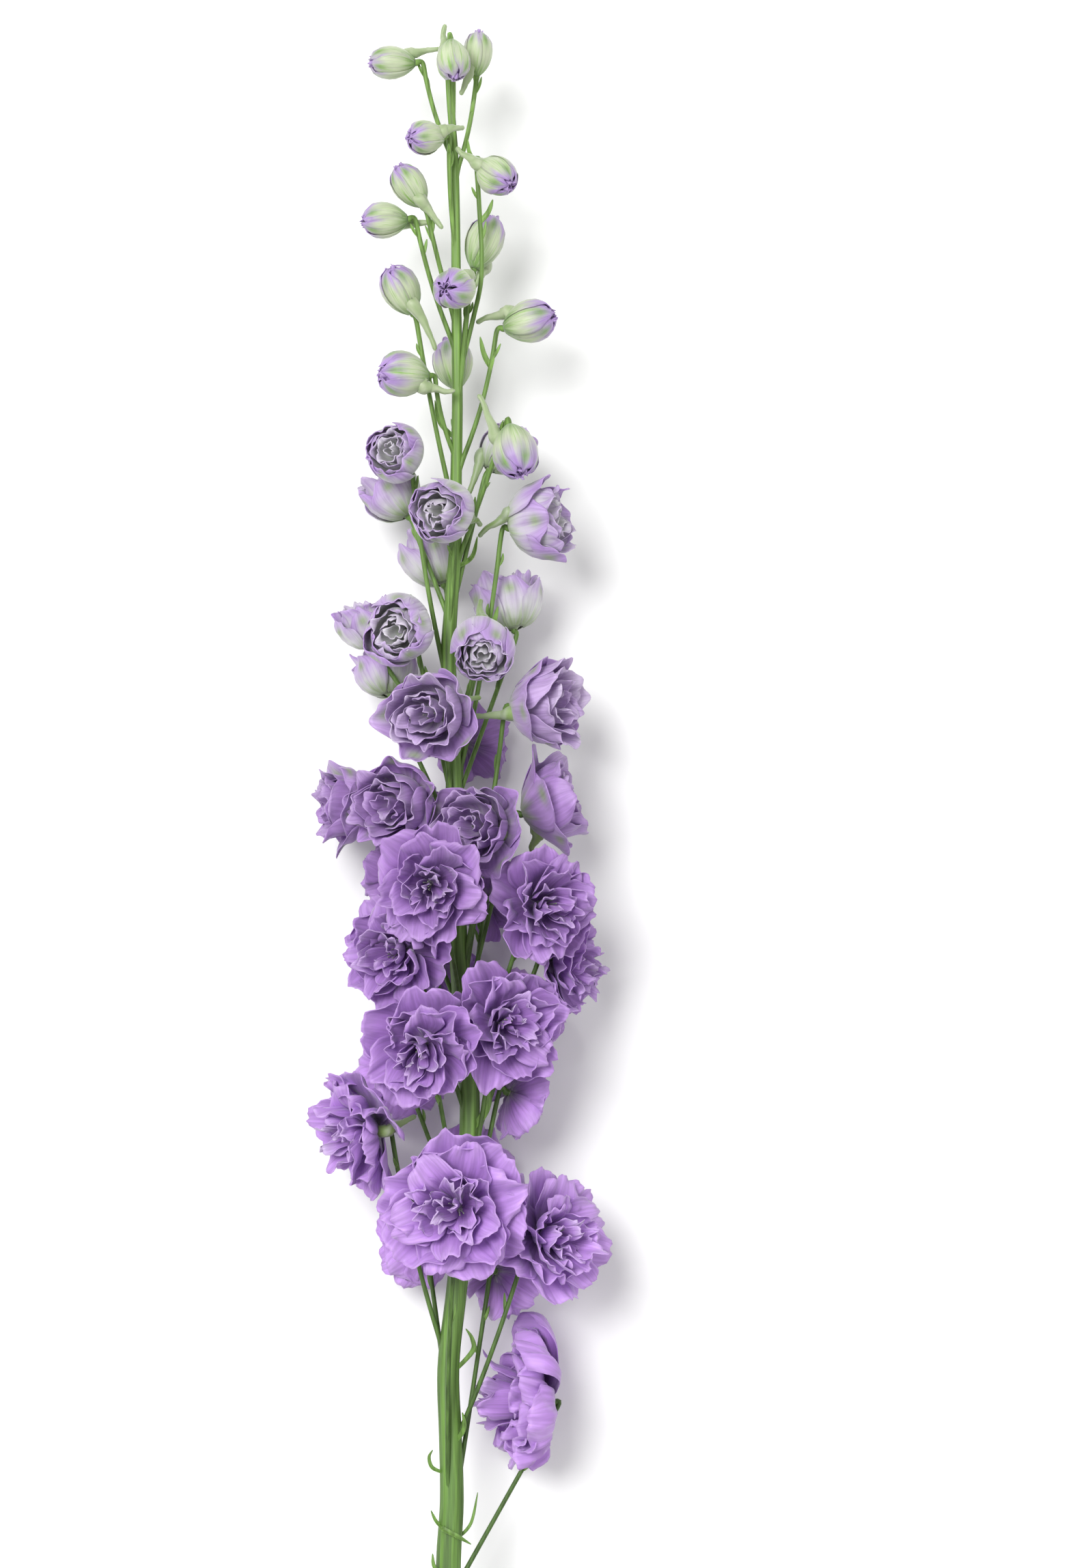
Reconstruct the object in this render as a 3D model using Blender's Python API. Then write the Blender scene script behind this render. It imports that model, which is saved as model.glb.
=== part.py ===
"""Double delphinium spike laid on its back: one stem with its stalks, and one node for each flower."""
import math

import bmesh
import bpy
import numpy as np

MM = 0.001
# height of the stem line above the surface that the spike lies on
STEM_HEIGHT = 44.0
# free space left between a stalk and the flower it carries
JOINT_GAP = 0.35
# free space asked for between neighbouring flowers while they settle
CROWD_GAP = 1.2
# move that puts the middle of the whole spike over the origin
SHIFT = (-3.1, -330.7, STEM_HEIGHT)
PETAL_THICK = 0.9
STALK_RADIUS = 1.2
STALK_SIDES = 5
SPUR_RADIUS = 1.8
SPUR_TIP_RADIUS = 1.0
REST_CUT = 1.2
# the blooms that carry the spike: two below its weight and one above
REST_FLOWERS = ("bloom_20", "bloom_24", "bloom_25")
GOLDEN = math.radians(137.5)

# stem line: across, along from the cut end, radius
STEM_LINE = [
    (-1.9, 0, 5.0), (-1.9, 52, 5.0), (-0.5, 78, 4.8), (-1.1, 105, 4.6), (-1.9, 132, 4.4),
    (1.6, 164, 4.2), (5.2, 205, 4.1), (6.5, 240, 4.0), (2.2, 294, 3.8), (0.3, 361, 3.3),
    (-1.9, 410, 3.0), (-1.1, 429, 2.8), (0.8, 456, 2.5), (1.1, 483, 2.3), (1.6, 510, 2.2),
    (1.4, 537, 2.1), (1.1, 564, 1.9), (0.8, 591, 1.8), (0.3, 613, 1.6), (-1.1, 629, 1.4),
    (-2.0, 641, 1.2), (-2.2, 650, 1.1),
]

# name, stalk joint, middle of the mouth or tip, width, spur tip, place where the stalk leaves the stem
# each point is across, along from the cut end, and above the stem line; all in millimetres
FLOWERS = [
    ("bud_01", (-15, 647, 2), (-33, 647, 4), 13, (-6, 653, -1), 607),
    ("bud_02", (-1, 655, 10), (1, 639, 17), 13, (-4, 661, 3), 621),
    ("bud_03", (9, 642, -2), (10, 660, -1), 11, (4, 634, 5), 602),
    ("bud_04", (-4, 617, 8), (-17, 616, 18), 13, (4, 621, 10), 571),
    ("bud_05", (11, 607, 6), (23, 597, 16), 15, (1, 612, 8), 521),
    ("bud_06", (-12, 590, 4), (-22, 606, 6), 13, (-4, 581, 8), 542),
    ("bud_07", (-18, 585, 4), (-36, 584, 6), 14, (-6, 584, 0), 532),
    ("bud_08", (8, 566, -6), (16, 587, -10), 15, (7, 557, -7), 517),
    ("bud_09", (-16, 548, 0), (-25, 566, 3), 15, (-6, 534, 3), 467),
    ("bud_10", (5, 557, 9), (-3, 556, 27), 16, (9, 562, 2), 507),
    ("bud_11", (-10, 523, 6), (-29, 524, 14), 18, (0, 516, 9), 490),
    ("bud_12", (20, 542, 3), (40, 547, 8), 17, (9, 545, 0), 484),
    ("bud_13", (1, 519, -14), (-2, 539, -16), 16, None, 467),
    ("bud_14", (22, 503, 13), (27, 483, 22), 18, (11, 516, 6), 446),
    ("half_01", (14, 486, -6), (25, 503, -12), 19, (6, 476, -2), 428),
    ("half_02", (-18, 490, 3), (-26, 494, 20), 23, None, 397),
    ("half_03", (-18, 468, -9), (-29, 484, -12), 24, None, 426),
    ("half_04", (0, 470, 11), (-6, 468, 29), 25, (11, 465, 8), 413),
    ("half_05", (-4, 441, -14), (-11, 460, -20), 25, None, 406),
    ("half_06", (22, 463, 4), (43, 468, 10), 30, (10, 461, 2), 359),
    ("half_07", (24, 423, -12), (20, 443, -17), 27, None, 353),
    ("half_08", (13, 421, 8), (11, 412, 26), 25, (10, 435, 4), 378),
    ("half_09", (-31, 416, -3), (-38, 432, -2), 21, None, 370),
    ("half_10", (-17, 422, 6), (-24, 424, 24), 28, (-16, 436, 2), 351),
    ("half_11", (-25, 397, -12), (-28, 414, -18), 26, None, 340),
    ("half_12", (10, 411, -14), (13, 417, -36), 24, None, 367),
    ("bloom_01", (-5, 389, 14), (-11, 390, 36), 36, (10, 397, 8), 340),
    ("bloom_02", (23, 392, 3), (45, 394, 14), 37, (7, 388, 2), 278),
    ("bloom_03", (27, 350, -3), (48, 357, -2), 44, (30, 334, -8), 270),
    ("bloom_04", (-32, 353, -6), (-51, 353, -2), 34, None, 294),
    ("bloom_05", (-18, 354, 6), (-27, 355, 25), 37, (-9, 357, 4), 289),
    ("bloom_06", (13, 345, 14), (7, 345, 33), 36, (24, 341, 4), 283),
    ("bloom_07", (-6, 324, 28), (-11, 321, 50), 46, None, 267),
    ("bloom_08", (-21, 326, -12), (-31, 330, -24), 26, None, 267),
    ("bloom_09", (32, 314, 12), (42, 314, 32), 44, None, 240),
    ("bloom_10", (37, 293, -4), (56, 289, 2), 47, None, 213),
    ("bloom_11", (-18, 296, 14), (-27, 297, 34), 46, None, 226),
    ("bloom_12", (-10, 261, 22), (-14, 256, 44), 46, None, 186),
    ("bloom_13", (18, 268, 11), (24, 267, 33), 48, None, 172),
    ("bloom_14", (21, 240, -6), (33, 236, -14), 34, None, 164),
    ("bloom_15", (-28, 228, 0), (-49, 221, 10), 52, (-15, 231, 2), 131),
    ("bloom_16", (2, 198, 26), (1, 195, 50), 60, None, 62),
    ("bloom_17", (32, 183, 4), (48, 187, 22), 52, None, 98),
    ("bloom_18", (16, 169, -8), (24, 162, -24), 34, None, 66),
    ("bloom_19", (39, 116, -15), (11, 119, -11), 55, None, 39),
    ("bloom_20", (4, 378, -18), (8, 380, -38), 32, None, 324),
    ("bloom_21", (-6, 344, -18), (-11, 344, -38), 34, None, 289),
    ("bloom_22", (13, 316, -18), (17, 318, -36), 38, None, 256),
    ("bloom_23", (-9, 290, -20), (-13, 290, -38), 39, None, 229),
    ("bloom_24", (20, 267, -18), (23, 264, -38), 40, None, 199),
    ("bloom_25", (-21, 248, -16), (-24, 245, -36), 38, None, 186),
    ("bloom_26", (4, 210, -20), (4, 208, -38), 38, None, 129),
    ("bloom_27", (-12, 180, -15), (-17, 175, -33), 36, None, 112),
]

# places that the longer stalks pass on their way up, read from the lowest one
STALK_WAYS = {
    "bud_01": [(-4.3, 611, 2), (-9.7, 624, 3), (-14, 639, 2)],
    "bud_02": [(1.5, 631, 2), (1.5, 643, -1), (0.5, 653, -1), (-1, 661, 2)],
    "bud_03": [(6.5, 608, 0), (8.4, 618, -1), (8.9, 634, -2)],
    "bud_04": [(-1.6, 583, 3), (-3.8, 602, 6)],
    "bud_05": [(7, 531, 4), (8.4, 542, 6), (10.5, 564, 8), (12.5, 578, 8), (13.5, 592, 7)],
    "bud_06": [(-3.2, 549, 3), (-5, 562, 5), (-8.6, 580, 5)],
    "bud_07": [(-6.5, 540, 3), (-12.4, 553, 4), (-13, 566, 3), (-12.5, 580, 0)],
    "bud_09": [(-5.5, 484, 3), (-8.6, 499, 3), (-11.3, 516, 2), (-14.3, 533, 1)],
    "bud_11": [(-6.5, 502, 5), (-9.7, 511, 6)],
    "bud_12": [(8.7, 492, 3), (13.8, 504, 4), (18.6, 522, 4), (19.6, 534, 4)],
    "bud_14": [(11.9, 465, 4), (15, 479, 3), (16, 491, -1), (18, 502, 1)],
    "half_02": [(-12, 425, 3), (-15.8, 442, 3), (-17, 460, 2), (-19, 477, 1)],
    "half_06": [(17, 422, 3), (19.2, 437, 3), (18.6, 450, 3)],
    "bloom_02": [(12, 330, 3), (19, 357, 4), (21.5, 374, 4), (20.5, 384, 3)],
    "bloom_15": [(-8.6, 139, 3), (-16, 162, 4), (-21, 180, 3), (-25, 204, 0)],
    "bloom_16": [(-6.4, 69, 3), (-7.3, 105, 4), (-8.6, 137, 6), (-6.5, 151, 11), (-2.4, 166, 19)],
    "bloom_17": [(4.6, 98, 5), (9, 108, 13), (14, 121, 16), (19.5, 141, 14), (23.8, 164, 9)],
    "bloom_18": [(7.4, 78, -2), (7.4, 97, -4), (5.6, 115, -4), (7.4, 134, -5), (9, 150, -6)],
    "bloom_19": [(8.4, 52, 0), (22.7, 86, -8), (37, 104, -15)],
}

# narrow leaves and small leaf points on the stem and on the stalks: width, then the points they pass
LEAVES = [
    (1.8, [(-4.5, 69, 2), (-4, 68, 5.6), (2, 65, 6.2), (7, 62, 5.4)]),
    (1.2, [(-4.5, 68, 1), (-7, 71, 2), (-8.8, 75, 3)]),
    (1.3, [(-4.5, 90, 1), (-8.4, 92, 2), (-9.6, 96, 3), (-8.2, 99, 4)]),
    (1.4, [(-4.5, 50, 2), (-7.6, 53, 3), (-8.2, 58, 3)]),
    (1.6, [(0.5, 130, 1), (7.6, 138, 3), (7.4, 143, 4), (5, 147, 5)]),
    (1.1, [(2.0, 64, 0), (7.0, 70, 1), (9.6, 82, 1)]),
    (1.6, [(1.0, 102, 2), (4.4, 108, 5), (3.6, 114, 6)]),
    (2.4, [(6, 224, 1), (12.4, 232, 4), (14.4, 240, 5), (13.6, 248, 5)]),
    (2.2, [(2, 273, 1), (-6.4, 281, 4), (-8.4, 288, 5)]),
    (1.4, [(8.4, 608, -1), (6.2, 612, 0), (5.6, 617, 0)]),
    (1.6, [(1.5, 498, 0), (-5.4, 505, -4), (-7.4, 514, -6)]),
    (1.6, [(2, 448, 0), (7.4, 452, -3), (9.4, 460, -5)]),
    (1.6, [(-1, 380, -1), (-5.4, 386, -6), (-7.4, 394, -8)]),
]
LEAF_THICK = 0.7
# small leaf points on a stalk: flower, place along the stalk in parts, and where its tip stands
STALK_LEAVES = [("bud_12", 0.72, (-4, 12, 1)), ("half_06", 0.6, (4, 10, 2)), ("bud_05", 0.7, (5, 9, 1))]

# rings of each kind of flower from its joint to its heart, as parts of the half width and of the depth
# the word names the edge pattern, and the last number says which petal layer the ring belongs to
BUD_RINGS = [
    (0.40, 0.05, "groove", 0), (0.90, 0.27, "groove", 0), (1.0, 0.55, "groove", 0),
    (0.76, 0.83, "groove", 0), (0.34, 0.98, "pucker", 0),
]
HALF_RINGS = [
    (0.30, 0.06, "plain", 0), (0.82, 0.34, "groove", 0), (1.0, 0.86, "lobe", 0),
    (1.0, 0.86, "lip", 0), (0.44, 0.46, "plain", 1), (0.62, 0.96, "lobe", 1),
    (0.62, 0.96, "lip", 1),
]
BLOOM_RINGS = [
    (0.16, 0.06, "plain", 0), (0.68, 0.30, "plain", 0), (1.0, 0.58, "lobe", 0),
    (1.0, 0.58, "lip", 0), (0.50, 0.42, "plain", 1), (0.74, 0.84, "lobe", 1),
    (0.74, 0.84, "lip", 1), (0.28, 0.56, "plain", 2), (0.40, 0.98, "lobe", 2),
    (0.40, 0.98, "lip", 2),
]
KINDS = {
    "bud": (BUD_RINGS, 10, 0.93),
    "half": (HALF_RINGS, 10, 0.62),
    "bloom": (BLOOM_RINGS, 15, 0.70),
}


def unit(v):
    """Return a vector of length one."""
    v = np.asarray(v, float)
    return v / max(np.linalg.norm(v), 1e-9)


def smooth_line(points, steps):
    """Run a smooth curve through the points and return it with steps pieces for each gap."""
    p = np.asarray(points, float)
    out = []
    for i in range(len(p) - 1):
        a = p[max(i - 1, 0)]
        b = p[i]
        c = p[i + 1]
        d = p[min(i + 2, len(p) - 1)]
        for k in range(steps):
            t = k / steps
            out.append(0.5 * (2 * b + (c - a) * t + (2 * a - 5 * b + 4 * c - d) * t * t
                              + (3 * b - a - 3 * c + d) * t ** 3))
    out.append(p[-1])
    return np.array(out)


STEM_CURVE = smooth_line(STEM_LINE, 4)


def stem_at(along):
    """Return the middle of the stem and its radius at one place along it."""
    x = np.interp(along, STEM_CURVE[:, 1], STEM_CURVE[:, 0])
    r = np.interp(along, STEM_CURVE[:, 1], STEM_CURVE[:, 2])
    return np.array([x, along, 0.0]), float(r)


def flower_axes(base, tip, turn):
    """Return the two side directions and the outward direction of a flower."""
    w = unit(np.subtract(tip, base))
    ref = np.array([0.0, 1.0, 0.0]) if abs(w[1]) < 0.8 else np.array([0.0, 0.0, 1.0])
    u = unit(np.cross(ref, w))
    v = np.cross(w, u)
    return u * math.cos(turn) + v * math.sin(turn), v * math.cos(turn) - u * math.sin(turn), w


class Flower:
    """One flower with its place, its size and the balls that stand for it while it settles."""

    def __init__(self, number, row):
        """Take one row of the table."""
        self.name, base, tip, width, spur, self.leave = row
        self.kind = self.name.split("_")[0]
        self.base = np.array(base, float)
        self.anchor = self.base.copy()
        self.turn = number * GOLDEN
        self.u, self.v, self.w = flower_axes(base, tip, self.turn)
        self.radius = width / 2.0
        self.depth = float(np.linalg.norm(np.subtract(tip, base)))
        self.spur = None if spur is None else np.subtract(spur, base).astype(float)
        self.number = number

    def balls(self):
        """Return the middles and radii of the balls that fill this flower."""
        out = []
        if self.kind == "bud":
            plan = [(0.0, 0.30, 0.80), (0.0, 0.58, 0.84), (0.0, 0.84, 0.42)]
            ring = []
        elif self.kind == "half":
            plan = [(0.0, 0.25, 0.42), (0.0, 0.55, 0.50)]
            ring = [(0.52, 0.62, 0.46, 6)]
        else:
            plan = [(0.0, 0.20, 0.22), (0.0, 0.55, 0.34)]
            ring = [(0.42, 0.58, 0.24, 6), (0.62, 0.80, 0.15, 8), (0.82, 0.58, 0.17, 10)]
        for _, at, size in plan:
            out.append((self.base + self.w * at * self.depth, size * self.radius))
        for far, at, size, count in ring:
            for k in range(count):
                a = k * math.tau / count
                side = self.u * math.cos(a) + self.v * math.sin(a)
                out.append((self.base + self.w * at * self.depth + side * far * self.radius,
                            size * self.radius))
        return np.array([b[0] for b in out]), np.array([b[1] for b in out])


def push_apart(pa, ra, pb, rb, gap):
    """Return the push that takes the balls a away from the balls b."""
    d = pa[:, None, :] - pb[None, :, :]
    far = np.linalg.norm(d, axis=2)
    deep = ra[:, None] + rb[None, :] + gap - far
    hit = deep > 0
    if not hit.any():
        return None
    w = np.where(hit, deep, 0.0)
    way = (d / np.maximum(far, 0.01)[:, :, None] * w[:, :, None]).sum(axis=(0, 1))
    size = np.linalg.norm(way)
    if size < 1e-9:
        way = np.array([0.0, 0.0, 1.0])
        size = 1.0
    return way / size * deep.max()


def settle(flowers, rounds):
    """Move crowded flowers apart, mostly forward or back, so that none runs into another."""
    along = np.arange(4.0, 650.0, 3.0)
    stem_p = np.array([stem_at(a)[0] for a in along])
    stem_r = np.array([stem_at(a)[1] for a in along])
    ease = np.array([0.7, 0.7, 1.3])
    for step in range(rounds):
        sets = [f.balls() for f in flowers]
        moves = [np.zeros(3) for _ in flowers]
        for i, fa in enumerate(flowers):
            for j in range(i + 1, len(flowers)):
                fb = flowers[j]
                if np.linalg.norm(fa.base - fb.base) > fa.radius + fb.radius + fa.depth + fb.depth:
                    continue
                push = push_apart(sets[i][0], sets[i][1], sets[j][0], sets[j][1], CROWD_GAP)
                if push is not None:
                    moves[i] += push * 0.35 * ease
                    moves[j] -= push * 0.35 * ease
            push = push_apart(sets[i][0], sets[i][1], stem_p, stem_r, 2.2)
            if push is not None:
                moves[i] += push * 0.5
            low = (sets[i][0][:, 2] - sets[i][1]).min()
            if low < 1.5 - STEM_HEIGHT:
                moves[i][2] += (1.5 - STEM_HEIGHT - low) * 0.6
        for f, move in zip(flowers, moves):
            size = np.linalg.norm(move)
            if size > 1.5:
                move = move * 1.5 / size
            f.base = f.base + move
            if step < rounds * 0.7:
                f.base += (f.anchor - f.base) * 0.02


def clear_line(points, radius, obstacles, fixed_ends, rounds):
    """Bend a stalk or a spur round everything that it must stay clear of."""
    p = np.array(points, float)
    balls, sizes = obstacles
    last = len(p) - fixed_ends
    for _ in range(rounds):
        move = np.zeros_like(p)
        for k in range(1, last):
            for part in (0.0, 0.33, 0.67):
                if k + 1 >= last and part > 0:
                    continue
                spot = p[k] * (1 - part) + p[min(k + 1, len(p) - 1)] * part
                d = spot - balls
                far = np.linalg.norm(d, axis=1)
                deep = sizes + radius + 0.6 - far
                for m in np.nonzero(deep > 0)[0]:
                    push = d[m] / max(far[m], 0.01) * deep[m] * 0.5
                    move[k] += push * (1 - part)
                    if part > 0:
                        move[k + 1] += push * part
        p += move
        inner = p[1:-fixed_ends] if fixed_ends > 1 else p[1:-1]
        count = len(inner)
        for k in range(1, 1 + count):
            p[k] = p[k] * 0.8 + (p[k - 1] + p[k + 1]) * 0.1
    return p


def bezier(a, b, c, d, count):
    """Return count points on a curve with two handles."""
    out = []
    for k in range(count):
        t = k / (count - 1)
        s = 1 - t
        out.append(a * s ** 3 + b * 3 * s * s * t + c * 3 * s * t * t + d * t ** 3)
    return out


def ring_frames(points, start):
    """Carry one side direction along a line without twist."""
    p = np.asarray(points, float)
    frames = []
    side = np.asarray(start, float)
    for k in range(len(p)):
        if k == 0:
            way = unit(p[1] - p[0])
        elif k == len(p) - 1:
            way = unit(p[k] - p[k - 1])
        else:
            way = unit(unit(p[k + 1] - p[k]) + unit(p[k] - p[k - 1]))
        side = unit(side - way * np.dot(side, way))
        frames.append((side, np.cross(way, side)))
    return frames


def new_object(name, verts, faces, color):
    """Make one closed mesh object in metres with its own material."""
    mesh = bpy.data.meshes.new(name)
    mesh.from_pydata([tuple((np.asarray(v) + np.array(SHIFT)) * MM) for v in verts], [], faces)
    bm = bmesh.new()
    bm.from_mesh(mesh)
    bmesh.ops.recalc_face_normals(bm, faces=bm.faces)
    if bm.calc_volume(signed=True) < 0:
        bmesh.ops.reverse_faces(bm, faces=bm.faces)
    bm.to_mesh(mesh)
    bm.free()
    obj = bpy.data.objects.new(name, mesh)
    bpy.context.scene.collection.objects.link(obj)
    mat = bpy.data.materials.new(name + "_mat")
    mat.use_nodes = True
    shader = mat.node_tree.nodes["Principled BSDF"]
    shader.inputs["Base Color"].default_value = color
    shader.inputs["Roughness"].default_value = 0.6
    mesh.materials.append(mat)
    return obj


def tube(points, wide, thick, sides, start, turn):
    """Return the points and faces of a closed tube with round or flat section."""
    frames = ring_frames(points, start)
    verts = []
    faces = []
    count = len(points)
    for k in range(count):
        a, b = frames[k]
        for s in range(sides):
            ang = turn + s * math.tau / sides
            verts.append(points[k] + a * math.cos(ang) * wide[k] + b * math.sin(ang) * thick[k])
    for k in range(count - 1):
        for s in range(sides):
            n = (s + 1) % sides
            i0 = k * sides + s
            i1 = k * sides + n
            j0 = i0 + sides
            j1 = i1 + sides
            faces.append((i0, i1, j1))
            faces.append((i0, j1, j0))
    for s in range(1, sides - 1):
        faces.append((0, s + 1, s))
        last = (count - 1) * sides
        faces.append((last, last + s, last + s + 1))
    return verts, faces


def edge_shape(word, layer, sides, k, flower):
    """Return how far out and how far forward one point of a ring stands, as factors."""
    spot = (k + layer) % (sides // 5)
    notch = spot == 0
    sway = math.sin(2.0 * k * math.tau / sides + flower.number + layer * 2.1)
    if word == "groove":
        return (0.90 if notch else 1.0), 0.0
    if word == "pucker":
        return (0.80 if notch else 1.15), 0.02 * (1 if notch else -1)
    if word in ("lobe", "lip"):
        deep = {"half": (0.90, 0.88), "bloom": (0.82, 0.78, 0.78)}[flower.kind][layer]
        ragged = 0.05 * math.sin(k * 2.9 + flower.number * 1.7 + layer)
        out = deep + ragged if notch else 1.0 + ragged
        rise = -0.09 if notch else 0.07 * sway
        if flower.kind == "bloom" and spot == 2:
            rise += 0.05
        return out, rise
    return 1.0, 0.0


def flower_mesh(flower, spur_line):
    """Return the points and faces of one flower: nested cups of joined petals and a hollow heart."""
    rings, sides, heart = KINDS[flower.kind]
    base = flower.base
    verts = [base]
    for far, at, word, layer in rings:
        for k in range(sides):
            ang = k * math.tau / sides
            side = flower.u * math.cos(ang) + flower.v * math.sin(ang)
            out, rise = edge_shape(word, layer, sides, k, flower)
            r = far * out * flower.radius
            h = (at + rise) * flower.depth
            if word == "lip":
                r -= PETAL_THICK * 0.75
                h += PETAL_THICK * 0.75
            if word == "plain" and layer > 0:
                h += PETAL_THICK * 0.8
            verts.append(base + side * r + flower.w * h)
    top = len(verts)
    verts.append(base + flower.w * heart * flower.depth)
    faces = []
    quads = {}
    for k in range(sides):
        n = (k + 1) % sides
        faces.append((0, 1 + n, 1 + k))
    for g in range(len(rings) - 1):
        flip = rings[g][2] == "lip"
        for k in range(sides):
            n = (k + 1) % sides
            i0 = 1 + g * sides + k
            i1 = 1 + g * sides + n
            j0 = i0 + sides
            j1 = i1 + sides
            pair = [(i0, i1, j0), (i1, j1, j0)] if flip else [(i0, i1, j1), (i0, j1, j0)]
            quads[(g, k)] = ((i0, i1, j1, j0), pair)
            faces.extend(pair)
    last = 1 + (len(rings) - 1) * sides
    for k in range(sides):
        n = (k + 1) % sides
        faces.append((last + k, last + n, top))
    if spur_line is None:
        return verts, faces
    # the spur grows out of one wall face near the joint
    g, k = flower.spur_face
    corners, pair = quads[(g, k)]
    faces = [f for f in faces if f not in pair]
    middle = sum(verts[c] for c in corners) / 4.0
    line = [middle] + [np.asarray(q) for q in spur_line[1:]]
    frames = ring_frames(line, unit(verts[corners[1]] - verts[corners[0]]))
    ring = list(corners)
    size = len(line) - 1
    for m in range(1, len(line)):
        a, b = frames[m]
        rad = SPUR_RADIUS + (SPUR_TIP_RADIUS - SPUR_RADIUS) * (m - 1) / max(size - 1, 1)
        fresh = []
        signs = corner_signs(verts, corners, middle, frames[0])
        for sa, sb in signs:
            fresh.append(len(verts))
            verts.append(line[m] + (a * sa + b * sb) * rad * 0.9)
        for c in range(4):
            d = (c + 1) % 4
            faces.append((ring[c], ring[d], fresh[d]))
            faces.append((ring[c], fresh[d], fresh[c]))
        ring = fresh
    faces.append((ring[0], ring[1], ring[2]))
    faces.append((ring[0], ring[2], ring[3]))
    return verts, faces


def corner_signs(verts, corners, middle, frame):
    """Return for each corner of a face on which side of the spur line it starts."""
    a, b = frame
    angles = []
    for c in corners:
        d = verts[c] - middle
        angles.append(math.atan2(np.dot(d, b), np.dot(d, a)))
    turn = sum(math.sin(x - y) for x, y in zip(angles[1:] + angles[:1], angles))
    step = math.copysign(math.pi / 2, turn)
    return [(math.cos(angles[0] + step * n) * 1.1, math.sin(angles[0] + step * n) * 1.1)
            for n in range(4)]


def pick_spur(flower):
    """Choose the wall face that the spur grows from and draw the spur's line."""
    rings, sides, _ = KINDS[flower.kind]
    g = 0
    aim = unit(flower.spur)
    best = None
    for k in range(sides):
        ang = (k + 0.5) * math.tau / sides
        side = flower.u * math.cos(ang) + flower.v * math.sin(ang)
        score = np.dot(side, aim)
        if best is None or score > best[0]:
            best = (score, k, side)
    _, k, side = best
    flower.spur_face = (g, k)
    r = (rings[g][0] + rings[g + 1][0]) / 2 * flower.radius
    h = (rings[g][1] + rings[g + 1][1]) / 2 * flower.depth
    start = flower.base + side * r + flower.w * h
    end = flower.base + flower.spur
    length = np.linalg.norm(end - start)
    out = unit(side * 0.8 - flower.w * 0.6)
    return bezier(start, start + out * length * 0.45, end + unit(start - end) * length * 0.2, end, 5)


def even_points(line, count):
    """Return count points at even distances along a line."""
    p = np.asarray(line, float)
    steps = np.linalg.norm(np.diff(p, axis=0), axis=1)
    run = np.concatenate([[0.0], np.cumsum(steps)])
    at = np.linspace(0.0, run[-1], count)
    return [np.array([np.interp(a, run, p[:, n]) for n in range(3)]) for a in at]


def line_balls(line, radius):
    """Return balls along a line."""
    dense = []
    for a, b in zip(line[:-1], line[1:]):
        for t in (0.0, 0.5):
            dense.append(np.asarray(a) * (1 - t) + np.asarray(b) * t)
    dense.append(np.asarray(line[-1]))
    return np.array(dense), np.full(len(dense), radius)


def stalk_line(flower):
    """Draw the stalk of one flower from inside the stem to its joint."""
    start, _ = stem_at(flower.leave)
    end = flower.base - flower.w * JOINT_GAP
    ways = STALK_WAYS.get(flower.name)
    if ways is not None:
        shift = flower.base - flower.anchor
        line = [start]
        for n, way in enumerate(ways):
            line.append(np.array(way, float) + shift * (n + 1) / (len(ways) + 1))
        line.append(end - flower.w * 2.5)
        return even_points(smooth_line(line, 6), 8) + [end]
    rise = max(end[1] - start[1], 6.0)
    out = end - stem_at(min(end[1], 650.0))[0]
    out[1] = 0.0
    leave = unit(out) * 3.0 + np.array([0.0, 0.42 * rise, 0.0])
    neck = end - flower.w * 3.0
    arrive = neck - flower.w * min(0.25 * rise, 10.0) - np.array([0.0, 0.12 * rise, 0.0])
    return bezier(start, start + leave, arrive, neck, 5) + [end]


def join_all(name, pieces, color):
    """Join the stem with everything that grows on it into one body."""
    helper = bpy.data.collections.new(name + "_pieces")
    bpy.context.scene.collection.children.link(helper)
    main = new_object(name, pieces[0][0], pieces[0][1], color)
    others = []
    for i, (verts, faces) in enumerate(pieces[1:]):
        obj = new_object("piece_%03d" % i, verts, faces, color)
        bpy.context.scene.collection.objects.unlink(obj)
        helper.objects.link(obj)
        obj.hide_render = True
        obj.display_type = "WIRE"
        others.append(obj)
    mod = main.modifiers.new("join", "BOOLEAN")
    mod.operation = "UNION"
    mod.operand_type = "COLLECTION"
    mod.collection = helper
    mod.solver = "EXACT"
    bpy.context.view_layer.objects.active = main
    main.select_set(True)
    bpy.ops.object.modifier_apply(modifier="join")
    for obj in others:
        mesh = obj.data
        mat = mesh.materials[0]
        bpy.data.objects.remove(obj, do_unlink=True)
        bpy.data.meshes.remove(mesh)
        bpy.data.materials.remove(mat)
    bpy.data.collections.remove(helper)
    return main


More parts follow.
